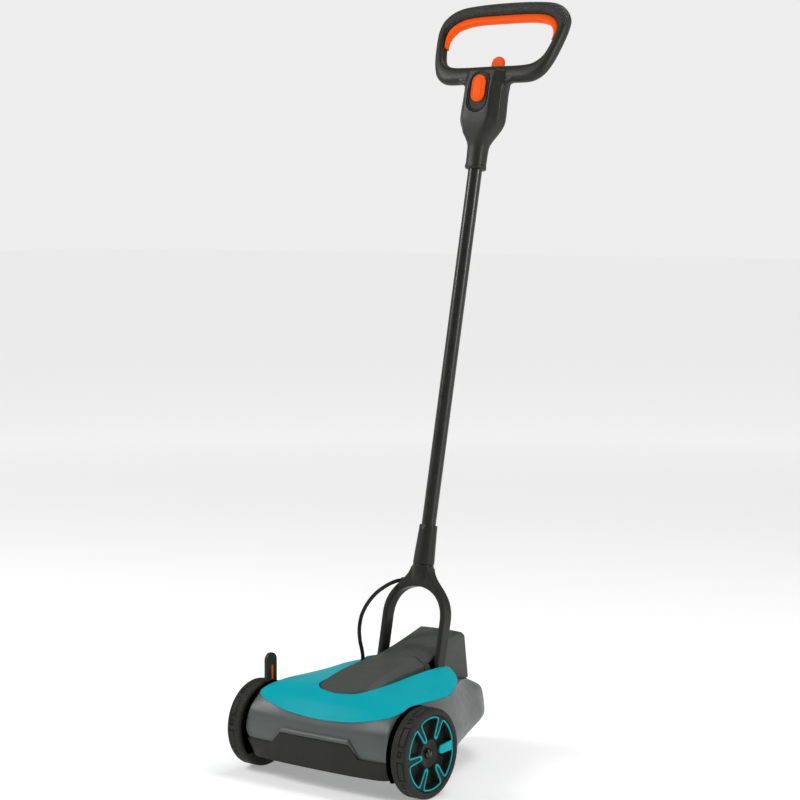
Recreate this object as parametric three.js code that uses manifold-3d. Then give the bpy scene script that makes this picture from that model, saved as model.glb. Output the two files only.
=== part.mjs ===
// A small battery-powered rotary lawn mower with two front wheels, two rear rollers
// and a leaning stick handle. Millimetres, +Z up, the front faces -Y, X runs across.
// The parts are laid out from the front axle and then moved back by AXLE_SETBACK,
// so that the origin lies on the ground under the middle of the whole mower.

import * as THREE from 'three';
import * as BufferGeometryUtils from 'three/addons/utils/BufferGeometryUtils.js';
import Module from 'manifold-3d';

const wasm = await Module();
wasm.setup();

// ---------- driving dimensions ----------

const AXLE_SETBACK = 189.75;
const GAP = 0.35;

// front wheels
const WHEEL_R = 64.85;
const TYRE_IN = 138.6;
const TYRE_OUT = 165.5;
const RIM_R = 54.2;
const TRIM_R = 53.3;
const AXLE_R = 4;
const SPOKES = 6;
const SPOKE_START = THREE.MathUtils.degToRad(12);

// height crank that carries the front wheels
const CRANK_Y = 24;
const CRANK_Z = 89.5;
const ARM_X = 140.5;
const ARM_T = 5;

// deck
const WALL = 3;
const FLOOR_Z = 76;
const FLOOR_T = 4;
const DECK_CENTRE = new THREE.Vector3(0, 105, 0);

// blade and motor
const BLADE_Y = 58;
const BLADE_R = 108;
const BLADE_Z = 45;
const BLADE_T = 2.4;
const BLADE_STEP = 0.8;
const MOTOR_R = 24;
const MOTOR_TOP = 134;

// rear rollers
const ROLLER_Y = 190;
const ROLLER_R = 20;
const ROLLER_IN = 16;
const ROLLER_OUT = 50;

// hood and battery
const HOOD_HALF = 44.3;
const HOOD_FLARE = 4.2;
const HOOD_BACK = 251;
const HOOD_FOOT = 118;
const LID_FRONT = 142;
const BATTERY = { x: 37, y0: 140, y1: 243, z0: 98, z1: 146 };

// handle stick, measured along the stick from the yoke pivot
const PIVOT_Y = 168.4;
const PIVOT_Z = 131.9;
const LEAN = THREE.MathUtils.degToRad(12.656);
const LEG_IN = 49.6;
const LEG_OUT = 57.6;
const LEG_DEPTH = 17;
const EAR_R = 11;
const PIN_R = 5;
const YOKE_TOP = 163.4;
const SLEEVE_TOP = 224.3;
const TUBE_R = 11;
const COLLAR = 783.2;
const LOOP_BASE = 922;
const LOOP_TILT = THREE.MathUtils.degToRad(15);
const LOOP_DEPTH = 20;
const LOOP_BACK = 2.4;

// ---------- materials ----------

function plastic(color, roughness) {
  return new THREE.MeshStandardMaterial({ color, roughness, metalness: 0 });
}

function metal(color, roughness) {
  return new THREE.MeshStandardMaterial({ color, roughness, metalness: 1 });
}

const CYAN = plastic(0x00a3b8, 0.35);
const GREY = plastic(0x5f6461, 0.55);
const DARK = plastic(0x383835, 0.6);
const BLACK = plastic(0x242422, 0.45);
const ORANGE = plastic(0xff5a14, 0.4);
const RUBBER = plastic(0x30302f, 0.85);
const STEEL = metal(0x9aa0a6, 0.35);
const COPPER = metal(0xb8733a, 0.4);
const BOARD = plastic(0x1f6b3a, 0.6);

// ---------- geometry helpers ----------

function bare(geometry) {
  const copy = geometry.clone();
  copy.deleteAttribute('normal');
  copy.deleteAttribute('uv');
  copy.clearGroups();
  return BufferGeometryUtils.mergeVertices(copy, 1e-4);
}

function toSolid(geometry) {
  const merged = bare(geometry);
  return new wasm.Manifold(new wasm.Mesh({
    numProp: 3,
    vertProperties: new Float32Array(merged.attributes.position.array),
    triVerts: new Uint32Array(merged.index.array),
  }));
}

function toGeometry(solid) {
  const mesh = solid.getMesh();
  const geometry = new THREE.BufferGeometry();
  geometry.setAttribute('position', new THREE.BufferAttribute(mesh.vertProperties, 3));
  geometry.setIndex(new THREE.BufferAttribute(mesh.triVerts, 1));
  geometry.computeVertexNormals();
  return geometry;
}

function join(...geometries) {
  return toGeometry(geometries.map(toSolid).reduce((a, b) => a.add(b)));
}

function cut(geometry, ...tools) {
  return toGeometry(tools.map(toSolid).reduce((a, b) => a.subtract(b), toSolid(geometry)));
}

function common(a, b) {
  return toGeometry(toSolid(a).intersect(toSolid(b)));
}

function box(x0, x1, y0, y1, z0, z1) {
  const geometry = new THREE.BoxGeometry(x1 - x0, y1 - y0, z1 - z0);
  return geometry.translate((x0 + x1) / 2, (y0 + y1) / 2, (z0 + z1) / 2);
}

function rodX(r, x0, x1, y, z, sides = 24) {
  const geometry = new THREE.CylinderGeometry(r, r, Math.abs(x1 - x0), sides);
  return geometry.rotateZ(Math.PI / 2).translate((x0 + x1) / 2, y, z);
}

function rodZ(r0, r1, x, y, z0, z1, sides = 24) {
  const geometry = new THREE.CylinderGeometry(r1, r0, z1 - z0, sides);
  return geometry.rotateX(Math.PI / 2).translate(x, y, (z0 + z1) / 2);
}

// A profile of [radius, x] corners turned about an X axis line through (y, z).
function turnX(profile, y, z, sides = 36) {
  const points = profile.map(([r, x]) => new THREE.Vector2(r, x));
  points.push(points[0].clone());
  const geometry = new THREE.LatheGeometry(points, sides);
  return geometry.rotateZ(-Math.PI / 2).translate(0, y, z);
}

// A flat outline in the YZ plane given thickness along X.
function slabX(outline, x0, x1, segments = 8) {
  const geometry = new THREE.ExtrudeGeometry(outline, {
    depth: x1 - x0,
    bevelEnabled: false,
    curveSegments: segments,
  });
  geometry.rotateX(Math.PI / 2).rotateZ(Math.PI / 2);
  return geometry.translate(x0, 0, 0);
}

// A flat outline in the XZ plane given thickness along Y, with rounded edges.
function slabY(outline, y0, y1, edge = 0, segments = 8) {
  const geometry = new THREE.ExtrudeGeometry(outline, {
    depth: y1 - y0 - 2 * edge,
    bevelEnabled: edge > 0,
    bevelThickness: edge,
    bevelSize: edge,
    bevelOffset: -edge,
    bevelSegments: edge > 2 ? 2 : 1,
    curveSegments: segments,
  });
  return geometry.rotateX(Math.PI / 2).translate(0, y1 - edge, 0);
}

// A closed skin through rings of points; each ring has the same number of points.
function skin(rings, closedRings, closedStack) {
  const count = rings[0].length;
  const position = rings.flat().flatMap((p) => [p.x, p.y, p.z]);
  const index = [];
  const stacks = closedStack ? rings.length : rings.length - 1;
  const spans = closedRings ? count : count - 1;
  for (let r = 0; r < stacks; r += 1) {
    const next = (r + 1) % rings.length;
    for (let i = 0; i < spans; i += 1) {
      const j = (i + 1) % count;
      const [a, b, c, d] = [r * count + i, r * count + j, next * count + j, next * count + i];
      index.push(a, b, c, a, c, d);
    }
  }
  return { position, index, count };
}

function finish({ position, index }) {
  const geometry = new THREE.BufferGeometry();
  geometry.setAttribute('position', new THREE.Float32BufferAttribute(position, 3));
  geometry.setIndex(index);
  return geometry;
}

// A solid through a stack of closed rings, with its first and last ring capped by a fan.
function stackSolid(rings) {
  const made = skin(rings, true, false);
  [[0, -1], [rings.length - 1, 1]].forEach(([ring, way]) => {
    const centre = new THREE.Vector3();
    rings[ring].forEach((p) => centre.add(p));
    centre.divideScalar(made.count);
    const hub = made.position.length / 3;
    made.position.push(centre.x, centre.y, centre.z);
    for (let i = 0; i < made.count; i += 1) {
      const a = ring * made.count + i;
      const b = ring * made.count + ((i + 1) % made.count);
      made.index.push(...(way > 0 ? [hub, a, b] : [hub, b, a]));
    }
  });
  return finish(made);
}

function ellipseRing(halfX, front, back, z, power = 2.4, count = 24) {
  const ring = [];
  for (let i = 0; i < count; i += 1) {
    const angle = (i / count) * 2 * Math.PI;
    const [c, s] = [Math.cos(angle), Math.sin(angle)];
    const x = Math.sign(c) * halfX * Math.abs(c) ** (2 / power);
    const depth = s < 0 ? front : back;
    ring.push(new THREE.Vector3(x, Math.sign(s) * depth * Math.abs(s) ** (2 / power), z));
  }
  return ring;
}

function mirrored(geometry) {
  const copy = bare(geometry).scale(-1, 1, 1);
  const index = copy.index.array;
  for (let i = 0; i < index.length; i += 3) {
    [index[i], index[i + 1]] = [index[i + 1], index[i]];
  }
  return copy;
}

// ---------- the tree ----------

const group = new THREE.Group();
const mower = new THREE.Group();
mower.position.y = -AXLE_SETBACK;
group.add(mower);

const stick = new THREE.Group();
stick.position.set(0, PIVOT_Y, PIVOT_Z);
stick.rotation.x = -LEAN;
mower.add(stick);

function piece(parent, name, geometry, material) {
  const mesh = new THREE.Mesh(geometry, material);
  mesh.name = name;
  parent.add(mesh);
}

// ---------- body lines ----------
// Each line runs along one half of the body, from the front centre to the rear centre.
// All lines have the same number of points, so that they can be joined into a surface.

const RIM_LINE = [
  [0, -57, 32], [65, -56, 32], [117, -52, 32], [129, -40, 32], [129.5, 15, 32], [127, 75, 32],
  [110, 128, 32], [88, 175, 32], [70, 220, 34], [52, 262, 44], [28, 281, 50], [0, 286, 51],
];
const WAIST_LINE = [
  [0, -60, 68], [65, -59, 68], [118, -54.5, 68], [131, -43, 68], [131.5, 15, 68], [130, 72, 68],
  [120, 126, 68], [105, 178, 68], [90, 232, 68], [71, 270, 68], [38, 288, 68], [0, 292, 68],
];
const BELT_LINE = [
  [0, -58, 89], [64, -57, 91], [116, -51, 96], [130.5, -38, 100], [131.5, 12, 102], [131, 70, 101],
  [122, 120, 99], [105, 168, 100], [86, 220, 100], [67, 264, 99], [35, 283, 99], [0, 287, 99],
];
const SEAM_LINE = [
  [0, -53, 101], [62, -51, 105], [112, -42, 115], [128, -28, 122], [130, 10, 128], [129, 66, 126],
  [119, 108, 124], [99, 150, 130], [76, 196, 130], [56, 240, 119], [29, 255, 117.5], [0, 257, 117.5],
];
const SHOULDER_LINE = [
  [0, -32, 120.5], [54, -29, 123], [98, -18, 128], [113, -4, 131.5], [114, 28, 133.5],
  [111, 70, 133.5], [103, 108, 136], [88, 143, 142.5], [74, 182, 143],
];
const HOOD_LINE = [
  [0, -13, 132], [29, -6, 133.5], [44, 9, 137], [49, 28, 138.5], [50, 52, 139.5], [51.5, 85, 142],
  [58, 118, 146], [67.5, 148, 150], [69.5, 178, 147],
];
const COVER_STATIONS = HOOD_LINE.length;

function asVectors(line) {
  return line.map(([x, y, z]) => new THREE.Vector3(x, y, z));
}

// Both halves of a line as one run of points, smooth through the front centre.
function bothHalves(line) {
  const right = asVectors(line);
  const left = right.slice(1).map((p) => new THREE.Vector3(-p.x, p.y, p.z)).reverse();
  return [...left, ...right];
}

function closedRing(line, perSpan = 2) {
  const points = bothHalves(line);
  points.pop();
  const curve = new THREE.CatmullRomCurve3(points, true, 'catmullrom', 0.4);
  const count = points.length * perSpan;
  return Array.from({ length: count }, (_, i) => curve.getPoint(i / count));
}

// The stretch of a line that the cover spans, from its left rear tip to its right one.
function coverRun(line, perSpan = 2) {
  const points = bothHalves(line);
  const curve = new THREE.CatmullRomCurve3(points, false, 'catmullrom', 0.4);
  const spans = points.length - 1;
  const skipped = line.length - COVER_STATIONS;
  const count = (spans - 2 * skipped) * perSpan;
  return Array.from({ length: count + 1 }, (_, i) => {
    return curve.getPoint((skipped + i / perSpan) / spans);
  });
}

function inset(ring, by, drop = 0) {
  return ring.map((p) => {
    const away = new THREE.Vector3(p.x - DECK_CENTRE.x, p.y - DECK_CENTRE.y, 0);
    const reach = away.length();
    away.multiplyScalar((reach - by) / reach);
    return new THREE.Vector3(DECK_CENTRE.x + away.x, DECK_CENTRE.y + away.y, p.z - drop);
  });
}

function atHeight(ring, z) {
  return ring.map((p) => new THREE.Vector3(p.x, p.y, z));
}

// ---------- deck ----------

// Behind ROOF_START the deck is roofed over, apart from the well the hood stands in.
const ROOF_START = 190;
const WELL_HALF = HOOD_HALF + HOOD_FLARE + GAP;

function deckShell() {
  const rim = closedRing(RIM_LINE);
  const waist = closedRing(WAIST_LINE);
  const belt = closedRing(BELT_LINE);
  const seam = inset(closedRing(SEAM_LINE), 0, GAP);
  const outer = stackSolid([rim, waist, belt, seam]);
  const under = stackSolid([
    atHeight(inset(rim, WALL), 20),
    inset(rim, WALL),
    atHeight(inset(waist, WALL), FLOOR_Z),
  ]);
  const over = stackSolid([
    atHeight(inset(waist, WALL + 1), FLOOR_Z + FLOOR_T),
    inset(belt, WALL + 1),
    inset(seam, WALL + 0.5, WALL + 0.5),
  ]);
  const rise = stackSolid([inset(seam, WALL + 0.5, WALL + 1), inset(seam, WALL + 0.5, -40)]);
  const front = common(rise, box(-200, 200, -100, ROOF_START, 80, 200));
  const well = box(-WELL_HALF, WELL_HALF, ROOF_START - 5, HOOD_BACK + 1, 90, 200);
  const hollow = cut(outer, under, over, front, well);
  const cheeks = [-1, 1].flatMap((side) => [cheek(side, 38, 40.9), cheek(side, 61, 65)]);
  const posts = [-1, 1].map((side) => rollerPost(side));
  const whole = join(hollow, ...cheeks, ...posts);
  const crankHole = rodX(7.4, -140, 140, CRANK_Y, CRANK_Z);
  const shaftHole = rodZ(9, 9, 0, BLADE_Y, FLOOR_Z - 5, FLOOR_Z + 10);
  const pinHole = rodX(PIN_R + 0.1, -80, 80, PIVOT_Y, PIVOT_Z);
  return cut(whole, crankHole, shaftHole, pinHole);
}

// One upright ear that holds an end of a yoke pivot pin.
function cheek(side, near, far) {
  const shape = new THREE.Shape();
  shape.moveTo(PIVOT_Y - 14, -(FLOOR_Z + 1));
  shape.lineTo(PIVOT_Y + 14, -(FLOOR_Z + 1));
  shape.lineTo(PIVOT_Y + 9, -PIVOT_Z);
  shape.absarc(PIVOT_Y, -PIVOT_Z, 9, 0, Math.PI, false);
  shape.closePath();
  const [x0, x1] = side > 0 ? [near, far] : [-far, -near];
  return slabX(flipped(shape), x0, x1);
}

// Outlines are drawn as (y, -z) so that they turn upright with +Z up.
function flipped(shape) {
  const points = shape.getPoints(8).map((p) => new THREE.Vector2(p.x, -p.y));
  return new THREE.Shape(points);
}

function rollerPost(side) {
  const [x0, x1] = side > 0 ? [3, 9] : [-9, -3];
  const upright = box(x0, x1, ROLLER_Y - 9, ROLLER_Y + 9, ROLLER_R, FLOOR_Z + 1);
  const eye = rodX(9, x0, x1, ROLLER_Y, ROLLER_R);
  return cut(join(upright, eye), rodX(AXLE_R + 0.1, x0 - 1, x1 + 1, ROLLER_Y, ROLLER_R));
}

piece(mower, 'deck_shell', deckShell(), GREY);

// ---------- black skirt across the front ----------

function frontSkirt() {
  const half = 128;
  const raised = new THREE.Shape();
  raised.moveTo(-half, 29);
  raised.lineTo(half, 29);
  raised.lineTo(half, 56);
  raised.lineTo(80, 56);
  raised.lineTo(62, 74.5);
  raised.lineTo(-62, 74.5);
  raised.lineTo(-80, 56);
  raised.lineTo(-half, 56);
  raised.closePath();
  const band = slabY(raised, -80, -30);
  const rings = [RIM_LINE, WAIST_LINE].map((line) => closedRing(line));
  const levels = [[rings[0], 20], [rings[1], 80]];
  const face = stackSolid(levels.map(([ring, z]) => atHeight(inset(ring, -4.6), z)));
  const core = stackSolid(levels.map(([ring, z]) => atHeight(inset(ring, -GAP - 1), z)));
  const front = box(-half, half, -80, -46, 20, 80);
  return common(common(cut(face, core), band), front);
}

piece(mower, 'front_skirt', frontSkirt(), DARK);

// ---------- cyan cover ----------

function topCover() {
  const thick = 2.6;
  const outer = [SEAM_LINE, SHOULDER_LINE, HOOD_LINE].map((line) => coverRun(line));
  const inner = [inset(outer[0], thick), inset(outer[1], 1.6, thick), inset(outer[2], -0.4, thick)];
  const sections = [...inner, ...outer.reverse()];
  const count = outer[0].length;
  const rings = Array.from({ length: count }, (_, i) => sections.map((run) => run[i]));
  return stackSolid(rings);
}

piece(mower, 'top_cover', topCover(), CYAN);

// ---------- centre hood with the battery housing ----------

// Height of the hood's top face over the length of the mower.
const HOOD_TOP = new THREE.SplineCurve([
  [-11, 133.5], [18, 142], [52, 150.5], [95, 157], [142, 162.5], [196, 172], [HOOD_BACK, 183.5],
].map(([y, z]) => new THREE.Vector2(y, z)));

function hoodTop(y) {
  let [low, high] = [0, 1];
  for (let i = 0; i < 24; i += 1) {
    const middle = (low + high) / 2;
    const below = HOOD_TOP.getPoint(middle).x < y;
    [low, high] = below ? [middle, high] : [low, middle];
  }
  return HOOD_TOP.getPoint(low).y;
}

// How full the hood's width is at its round nose, from 0 at the tip to 1 where it runs straight.
function noseShare(y) {
  const t = THREE.MathUtils.clamp((42 - y) / 54, 0, 1);
  return (1 - t ** 3.2) ** 0.62;
}

function hoodBlock(shrink, y0, y1, bottom, rearLean) {
  const steps = 13;
  const rings = [];
  for (let i = 0; i <= steps; i += 1) {
    const y = y0 + ((y1 - y0) * i) / steps;
    const half = Math.max(HOOD_HALF * noseShare(y) - shrink, 1.5);
    const foot = Math.max((HOOD_HALF + HOOD_FLARE) * noseShare(y) - shrink, 2);
    const top = hoodTop(y) - shrink;
    const edge = Math.min(6, half * 0.5, (top - bottom) * 0.4);
    const flank = top - edge * 1.6;
    const fall = THREE.MathUtils.clamp((y - LID_FRONT) / 60, 0, 1);
    const skirt = THREE.MathUtils.lerp(flank - 3, bottom + 2, fall);
    const lean = i === steps ? rearLean : 0;
    const side = [[foot, bottom, lean], [foot, skirt, lean], [half, flank, 0]];
    const crown = [[half - edge * 0.35, top - edge * 0.7, 0], [half - edge, top, 0]];
    const right = [...side, ...crown].map(([x, z, back]) => new THREE.Vector3(x, y + back, z));
    const left = right.map((p) => new THREE.Vector3(-p.x, p.y, p.z));
    rings.push([...left, ...right.reverse()]);
  }
  return stackSolid(rings);
}

const hoodShell = cut(
  hoodBlock(0, -9, HOOD_BACK, HOOD_FOOT, 3.5),
  hoodBlock(WALL, -4, HOOD_BACK - WALL, HOOD_FOOT - 18, 0),
);
const LID_SEAM = 155;
const HINGE = { y: LID_FRONT + 5.5, z: LID_SEAM + 4.6 };
const LID_SWING = 5.45;

function centreHood() {
  const lidWindow = box(-60, 60, LID_FRONT, HOOD_BACK + 15, LID_SEAM, 200);
  const pinHole = rodX(PIN_R + 0.6, -60, 60, PIVOT_Y, PIVOT_Z);
  const swing = rodX(LID_SWING + GAP, -60, 60, HINGE.y, HINGE.z, 32);
  return join(cut(hoodShell, lidWindow, pinHole, swing), lidBracket(), mirrored(lidBracket()));
}

// Holds one end of the lid's pin from below, clear of the lid's swing.
function lidBracket() {
  const riser = box(15, 19.5, 136, 139.5, 150, 160);
  const arm = box(15, 19.5, 136, HINGE.y + 1.8, 150, 153.4);
  const post = box(15, 19.5, HINGE.y - 1.8, HINGE.y + 1.8, 151, HINGE.z);
  const eye = rodX(2.2, 15, 19.5, HINGE.y, HINGE.z, 20);
  return cut(join(riser, arm, post, eye), rodX(1.5, 10, 24, HINGE.y, HINGE.z, 12));
}

function batteryLid() {
  const top = common(hoodShell, box(-60, 60, LID_FRONT + GAP, HOOD_BACK + 15, LID_SEAM + GAP, 200));
  const ahead = cut(box(-60, 60, 130, HINGE.y, 150, 200), rodX(LID_SWING, -70, 70, HINGE.y, HINGE.z, 32));
  const knuckle = rodX(2.7, -14, 14, HINGE.y, HINGE.z, 16);
  const eyeRoom = rodX(2.6, 14.6, 19.9, HINGE.y, HINGE.z, 20);
  const pinHole = rodX(1.6, -20, 20, HINGE.y, HINGE.z, 12);
  return cut(join(cut(top, ahead), knuckle), eyeRoom, mirrored(eyeRoom), pinHole);
}

piece(mower, 'centre_hood', centreHood(), GREY);
piece(mower, 'battery_lid', batteryLid(), GREY);

// ---------- wheel arches, crank and height lever ----------

function wheelArch(thickness) {
  const disc = rodX(WHEEL_R, 132.2, 132.2 + thickness, 0, WHEEL_R, 40);
  const below = box(100, 150, -90, 90, -10, 29);
  return cut(disc, below, rodX(7.8, 120, 150, CRANK_Y, CRANK_Z));
}

piece(mower, 'wheel_arch_right', wheelArch(4.8), BLACK);
piece(mower, 'wheel_arch_left', mirrored(wheelArch(1.7)), BLACK);

// A flanged bush turned about the crank line; the flange is on the inner side.
function crankBush() {
  const profile = [[4.2, 122], [7.6, 122], [7.6, 124.6], [7, 124.6], [7, 133], [4.2, 133]];
  return turnX(profile, CRANK_Y, CRANK_Z, 16);
}

piece(mower, 'crank_bush_right', crankBush(), BLACK);
piece(mower, 'crank_bush_left', mirrored(crankBush()), BLACK);

function crankArm() {
  const reach = Math.hypot(CRANK_Y, CRANK_Z - WHEEL_R);
  const angle = Math.atan2(CRANK_Z - WHEEL_R, CRANK_Y);
  const bar = box(ARM_X, ARM_X + ARM_T, 0, reach, -6, 6);
  bar.rotateX(angle).translate(0, 0, WHEEL_R);
  const stub = rodX(AXLE_R, ARM_X + 1, 157.6, 0, WHEEL_R, 16);
  const axleEye = rodX(7, ARM_X, ARM_X + ARM_T, 0, WHEEL_R, 16);
  const crankEye = rodX(7, ARM_X, ARM_X + ARM_T, CRANK_Y, CRANK_Z, 16);
  return join(bar, stub, axleEye, crankEye);
}

const crankRod = rodX(AXLE_R, -ARM_X - 1, ARM_X + 1, CRANK_Y, CRANK_Z, 16);
piece(mower, 'height_crank', join(crankRod, crankArm(), mirrored(crankArm())), STEEL);

// The height lever: a thin blade between the left wheel and its arch, thicker at the grip.
const LEVER_Y = 2;
const LEVER_TOP = 171;
const LEVER_HALF = 9;
const LEVER_GRIP = 131;

function leverOutline(low) {
  const shape = new THREE.Shape();
  shape.moveTo(LEVER_Y - LEVER_HALF, -low);
  shape.lineTo(LEVER_Y - LEVER_HALF, -(LEVER_TOP - LEVER_HALF));
  shape.absarc(LEVER_Y, -(LEVER_TOP - LEVER_HALF), LEVER_HALF, Math.PI, 2 * Math.PI, false);
  shape.lineTo(LEVER_Y + LEVER_HALF, -low);
  shape.closePath();
  return flipped(shape);
}

function heightLever() {
  const blade = slabX(leverOutline(118), -138, -134.4);
  const grip = slabX(leverOutline(LEVER_GRIP), -141, -134.4);
  const web = box(-138, -134.4, -9, 9, 0, 34);
  web.rotateX(Math.atan2(CRANK_Y - LEVER_Y, 34)).translate(0, CRANK_Y, CRANK_Z);
  const eye = rodX(12, -138, -134.4, CRANK_Y, CRANK_Z, 20);
  const bore = rodX(AXLE_R + GAP, -145, -130, CRANK_Y, CRANK_Z);
  const slot = box(-134.9, -130, LEVER_Y - 1.9, LEVER_Y + 1.9, 134, 157);
  return cut(join(blade, grip, web, eye), bore, slot);
}

piece(mower, 'height_lever', heightLever(), BLACK);
const marker = box(-134.8 + GAP, -134.1, LEVER_Y - 1.5, LEVER_Y + 1.5, 134.4, 156.6);
piece(mower, 'lever_marker', marker, ORANGE);

// ---------- front wheels ----------

const TYRE_PROFILE = [
  [54.6, 138.6], [61.8, 138.6], [WHEEL_R, 141.6], [WHEEL_R, 161.5],
  [62.6, 164.8], [59.5, TYRE_OUT], [54.6, TYRE_OUT],
];
const RIM_PROFILE = [
  [RIM_R, 140.8], [RIM_R, 163.4], [50, 163.4], [13, 157.5], [4.3, 157.5], [4.3, 146.6],
  [13, 146.6], [13, 153], [50.5, 159.2], [50.5, 140.8],
];

function wheelWindow(angle) {
  const shape = new THREE.Shape();
  const [near, far] = [21, 48];
  const [narrow, wide] = [0.16, 0.37];
  shape.moveTo(near * Math.cos(angle - narrow), near * Math.sin(angle - narrow));
  shape.lineTo(far * Math.cos(angle - wide), far * Math.sin(angle - wide));
  shape.absarc(0, 0, far, angle - wide, angle + wide, false);
  shape.lineTo(near * Math.cos(angle + narrow), near * Math.sin(angle + narrow));
  shape.closePath();
  return slabX(shape, 145, 170, 3).translate(0, 0, WHEEL_R);
}

function frontRim() {
  const windows = Array.from({ length: SPOKES }, (_, i) => {
    return wheelWindow(SPOKE_START + ((i + 0.5) * 2 * Math.PI) / SPOKES);
  });
  return cut(turnX(RIM_PROFILE, 0, WHEEL_R, 28), ...windows);
}

function wheelTrim() {
  const ring = turnX([[50.8, 163.8], [TRIM_R, 163.8], [TRIM_R, 165.3], [50.8, 165.3]], 0, WHEEL_R, 36);
  const bar = box(163.8, 165.3, 19, 52, -5.5, 5.5);
  return join(ring, bar.rotateX(SPOKE_START).translate(0, 0, WHEEL_R));
}

function hubCap() {
  const half = [[0, 158], [6.4, 158], [6.4, 159.5], [5, 162], [2.6, 163.2], [0, 163.6]];
  const points = half.map(([r, x]) => new THREE.Vector2(r, x));
  const dome = new THREE.LatheGeometry(points, 18);
  return dome.rotateZ(-Math.PI / 2).translate(0, 0, WHEEL_R);
}

const tyre = turnX(TYRE_PROFILE, 0, WHEEL_R, 40);
[['right', (shape) => shape], ['left', mirrored]].forEach(([side, place]) => {
  piece(mower, `tyre_${side}`, place(tyre), RUBBER);
  piece(mower, `wheel_${side}`, place(frontRim()), DARK);
  piece(mower, `wheel_trim_${side}`, place(wheelTrim()), CYAN);
  piece(mower, `hub_cap_${side}`, place(hubCap()), BLACK);
});

// ---------- rear rollers ----------

piece(mower, 'rear_axle', rodX(AXLE_R, -53, 53, ROLLER_Y, ROLLER_R, 16), STEEL);

const ROLLER_PROFILE = [
  [4.3, ROLLER_IN], [18, ROLLER_IN], [ROLLER_R, ROLLER_IN + 2],
  [ROLLER_R, ROLLER_OUT - 2], [18, ROLLER_OUT], [4.3, ROLLER_OUT],
];
const roller = turnX(ROLLER_PROFILE, ROLLER_Y, ROLLER_R, 26);
piece(mower, 'rear_roller_right', roller, BLACK);
piece(mower, 'rear_roller_left', mirrored(roller), BLACK);

// ---------- blade and motor ----------

function bladeShape() {
  const half = 17;
  const shape = new THREE.Shape();
  shape.moveTo(-BLADE_R + 6, -half);
  shape.lineTo(-40, -half);
  shape.lineTo(40, -half + 5);
  shape.lineTo(BLADE_R - 2, -half + 5);
  shape.lineTo(BLADE_R - 6, half);
  shape.lineTo(40, half);
  shape.lineTo(-40, half - 5);
  shape.lineTo(-BLADE_R + 2, half - 5);
  shape.closePath();
  const hole = new THREE.Path();
  hole.absarc(0, 0, 4.4, 0, 2 * Math.PI, true);
  shape.holes.push(hole);
  const flat = (z) => new THREE.ExtrudeGeometry(shape, { depth: BLADE_T, bevelEnabled: false })
    .translate(0, BLADE_Y, z);
  const wings = cut(flat(BLADE_Z), box(-26, 26, 0, 120, 30, BLADE_Z + BLADE_STEP));
  return join(wings, common(flat(BLADE_Z + BLADE_STEP), box(-28, 28, 0, 120, 30, 60)));
}

const BLADE_TOP = BLADE_Z + BLADE_STEP + BLADE_T;
const CARRIER_TOP = 66;
const carrier = join(
  rodZ(22, 22, 0, BLADE_Y, BLADE_TOP + GAP, 52),
  rodZ(12, 10, 0, BLADE_Y, 51, CARRIER_TOP),
);
const bolt = join(
  rodZ(9, 9, 0, BLADE_Y, BLADE_Z - 5, BLADE_Z - GAP, 6),
  rodZ(4, 4, 0, BLADE_Y, BLADE_Z - 1, 56, 16),
);
const MOTOR_BASE = FLOOR_Z + FLOOR_T + 5;

piece(mower, 'blade', bladeShape(), STEEL);
piece(mower, 'blade_carrier', cut(carrier, rodZ(4.4, 4.4, 0, BLADE_Y, 40, 80, 16)), BLACK);
piece(mower, 'blade_bolt', bolt, STEEL);
piece(mower, 'motor_shaft', rodZ(4, 4, 0, BLADE_Y, 56.6, MOTOR_BASE + 8, 16), STEEL);

const motorCan = join(
  rodZ(MOTOR_R, MOTOR_R, 0, BLADE_Y, MOTOR_BASE, MOTOR_TOP - 8),
  rodZ(MOTOR_R - 3, MOTOR_R - 5, 0, BLADE_Y, MOTOR_TOP - 9, MOTOR_TOP),
);
piece(mower, 'motor', cut(motorCan, rodZ(4.5, 4.5, 0, BLADE_Y, 70, MOTOR_BASE + 10, 16)), STEEL);

const SCREW_CIRCLE = 28.5;
const screwSpots = [45, 135, 225, 315].map((degrees) => {
  const angle = THREE.MathUtils.degToRad(degrees);
  return [SCREW_CIRCLE * Math.cos(angle), BLADE_Y + SCREW_CIRCLE * Math.sin(angle)];
});
const FLOOR_TOP = FLOOR_Z + FLOOR_T;
const mountPlate = rodZ(33, 33, 0, BLADE_Y, FLOOR_TOP + GAP, MOTOR_BASE - GAP, 28);
const screwHoles = screwSpots.map(([x, y]) => rodZ(1.9, 1.9, x, y, 70, 95, 8));
const mountBore = rodZ(10, 10, 0, BLADE_Y, 70, 95);
piece(mower, 'motor_mount', cut(mountPlate, mountBore, ...screwHoles), STEEL);
screwSpots.forEach(([x, y], i) => {
  const head = rodZ(3.2, 2.6, x, y, MOTOR_BASE, MOTOR_BASE + 2.4, 10);
  const shank = rodZ(1.5, 1.5, x, y, FLOOR_TOP + GAP, MOTOR_BASE + 1, 8);
  piece(mower, `motor_screw_${i + 1}`, join(head, shank), STEEL);
});

// ---------- electrics in the hood ----------

function controllerBoard() {
  const board = box(-30, 30, 96, 128, 87, 88.6);
  const parts = [
    box(-24, -10, 100, 116, 88, 100), box(-4, 8, 102, 114, 88, 96), box(14, 26, 98, 124, 88, 106),
    box(-29, -26, 98, 101, FLOOR_TOP + GAP, 88), box(26, 29, 98, 101, FLOOR_TOP + GAP, 88),
    box(-29, -26, 123, 126, FLOOR_TOP + GAP, 88), box(26, 29, 123, 126, FLOOR_TOP + GAP, 88),
  ];
  return join(board, ...parts);
}

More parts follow.
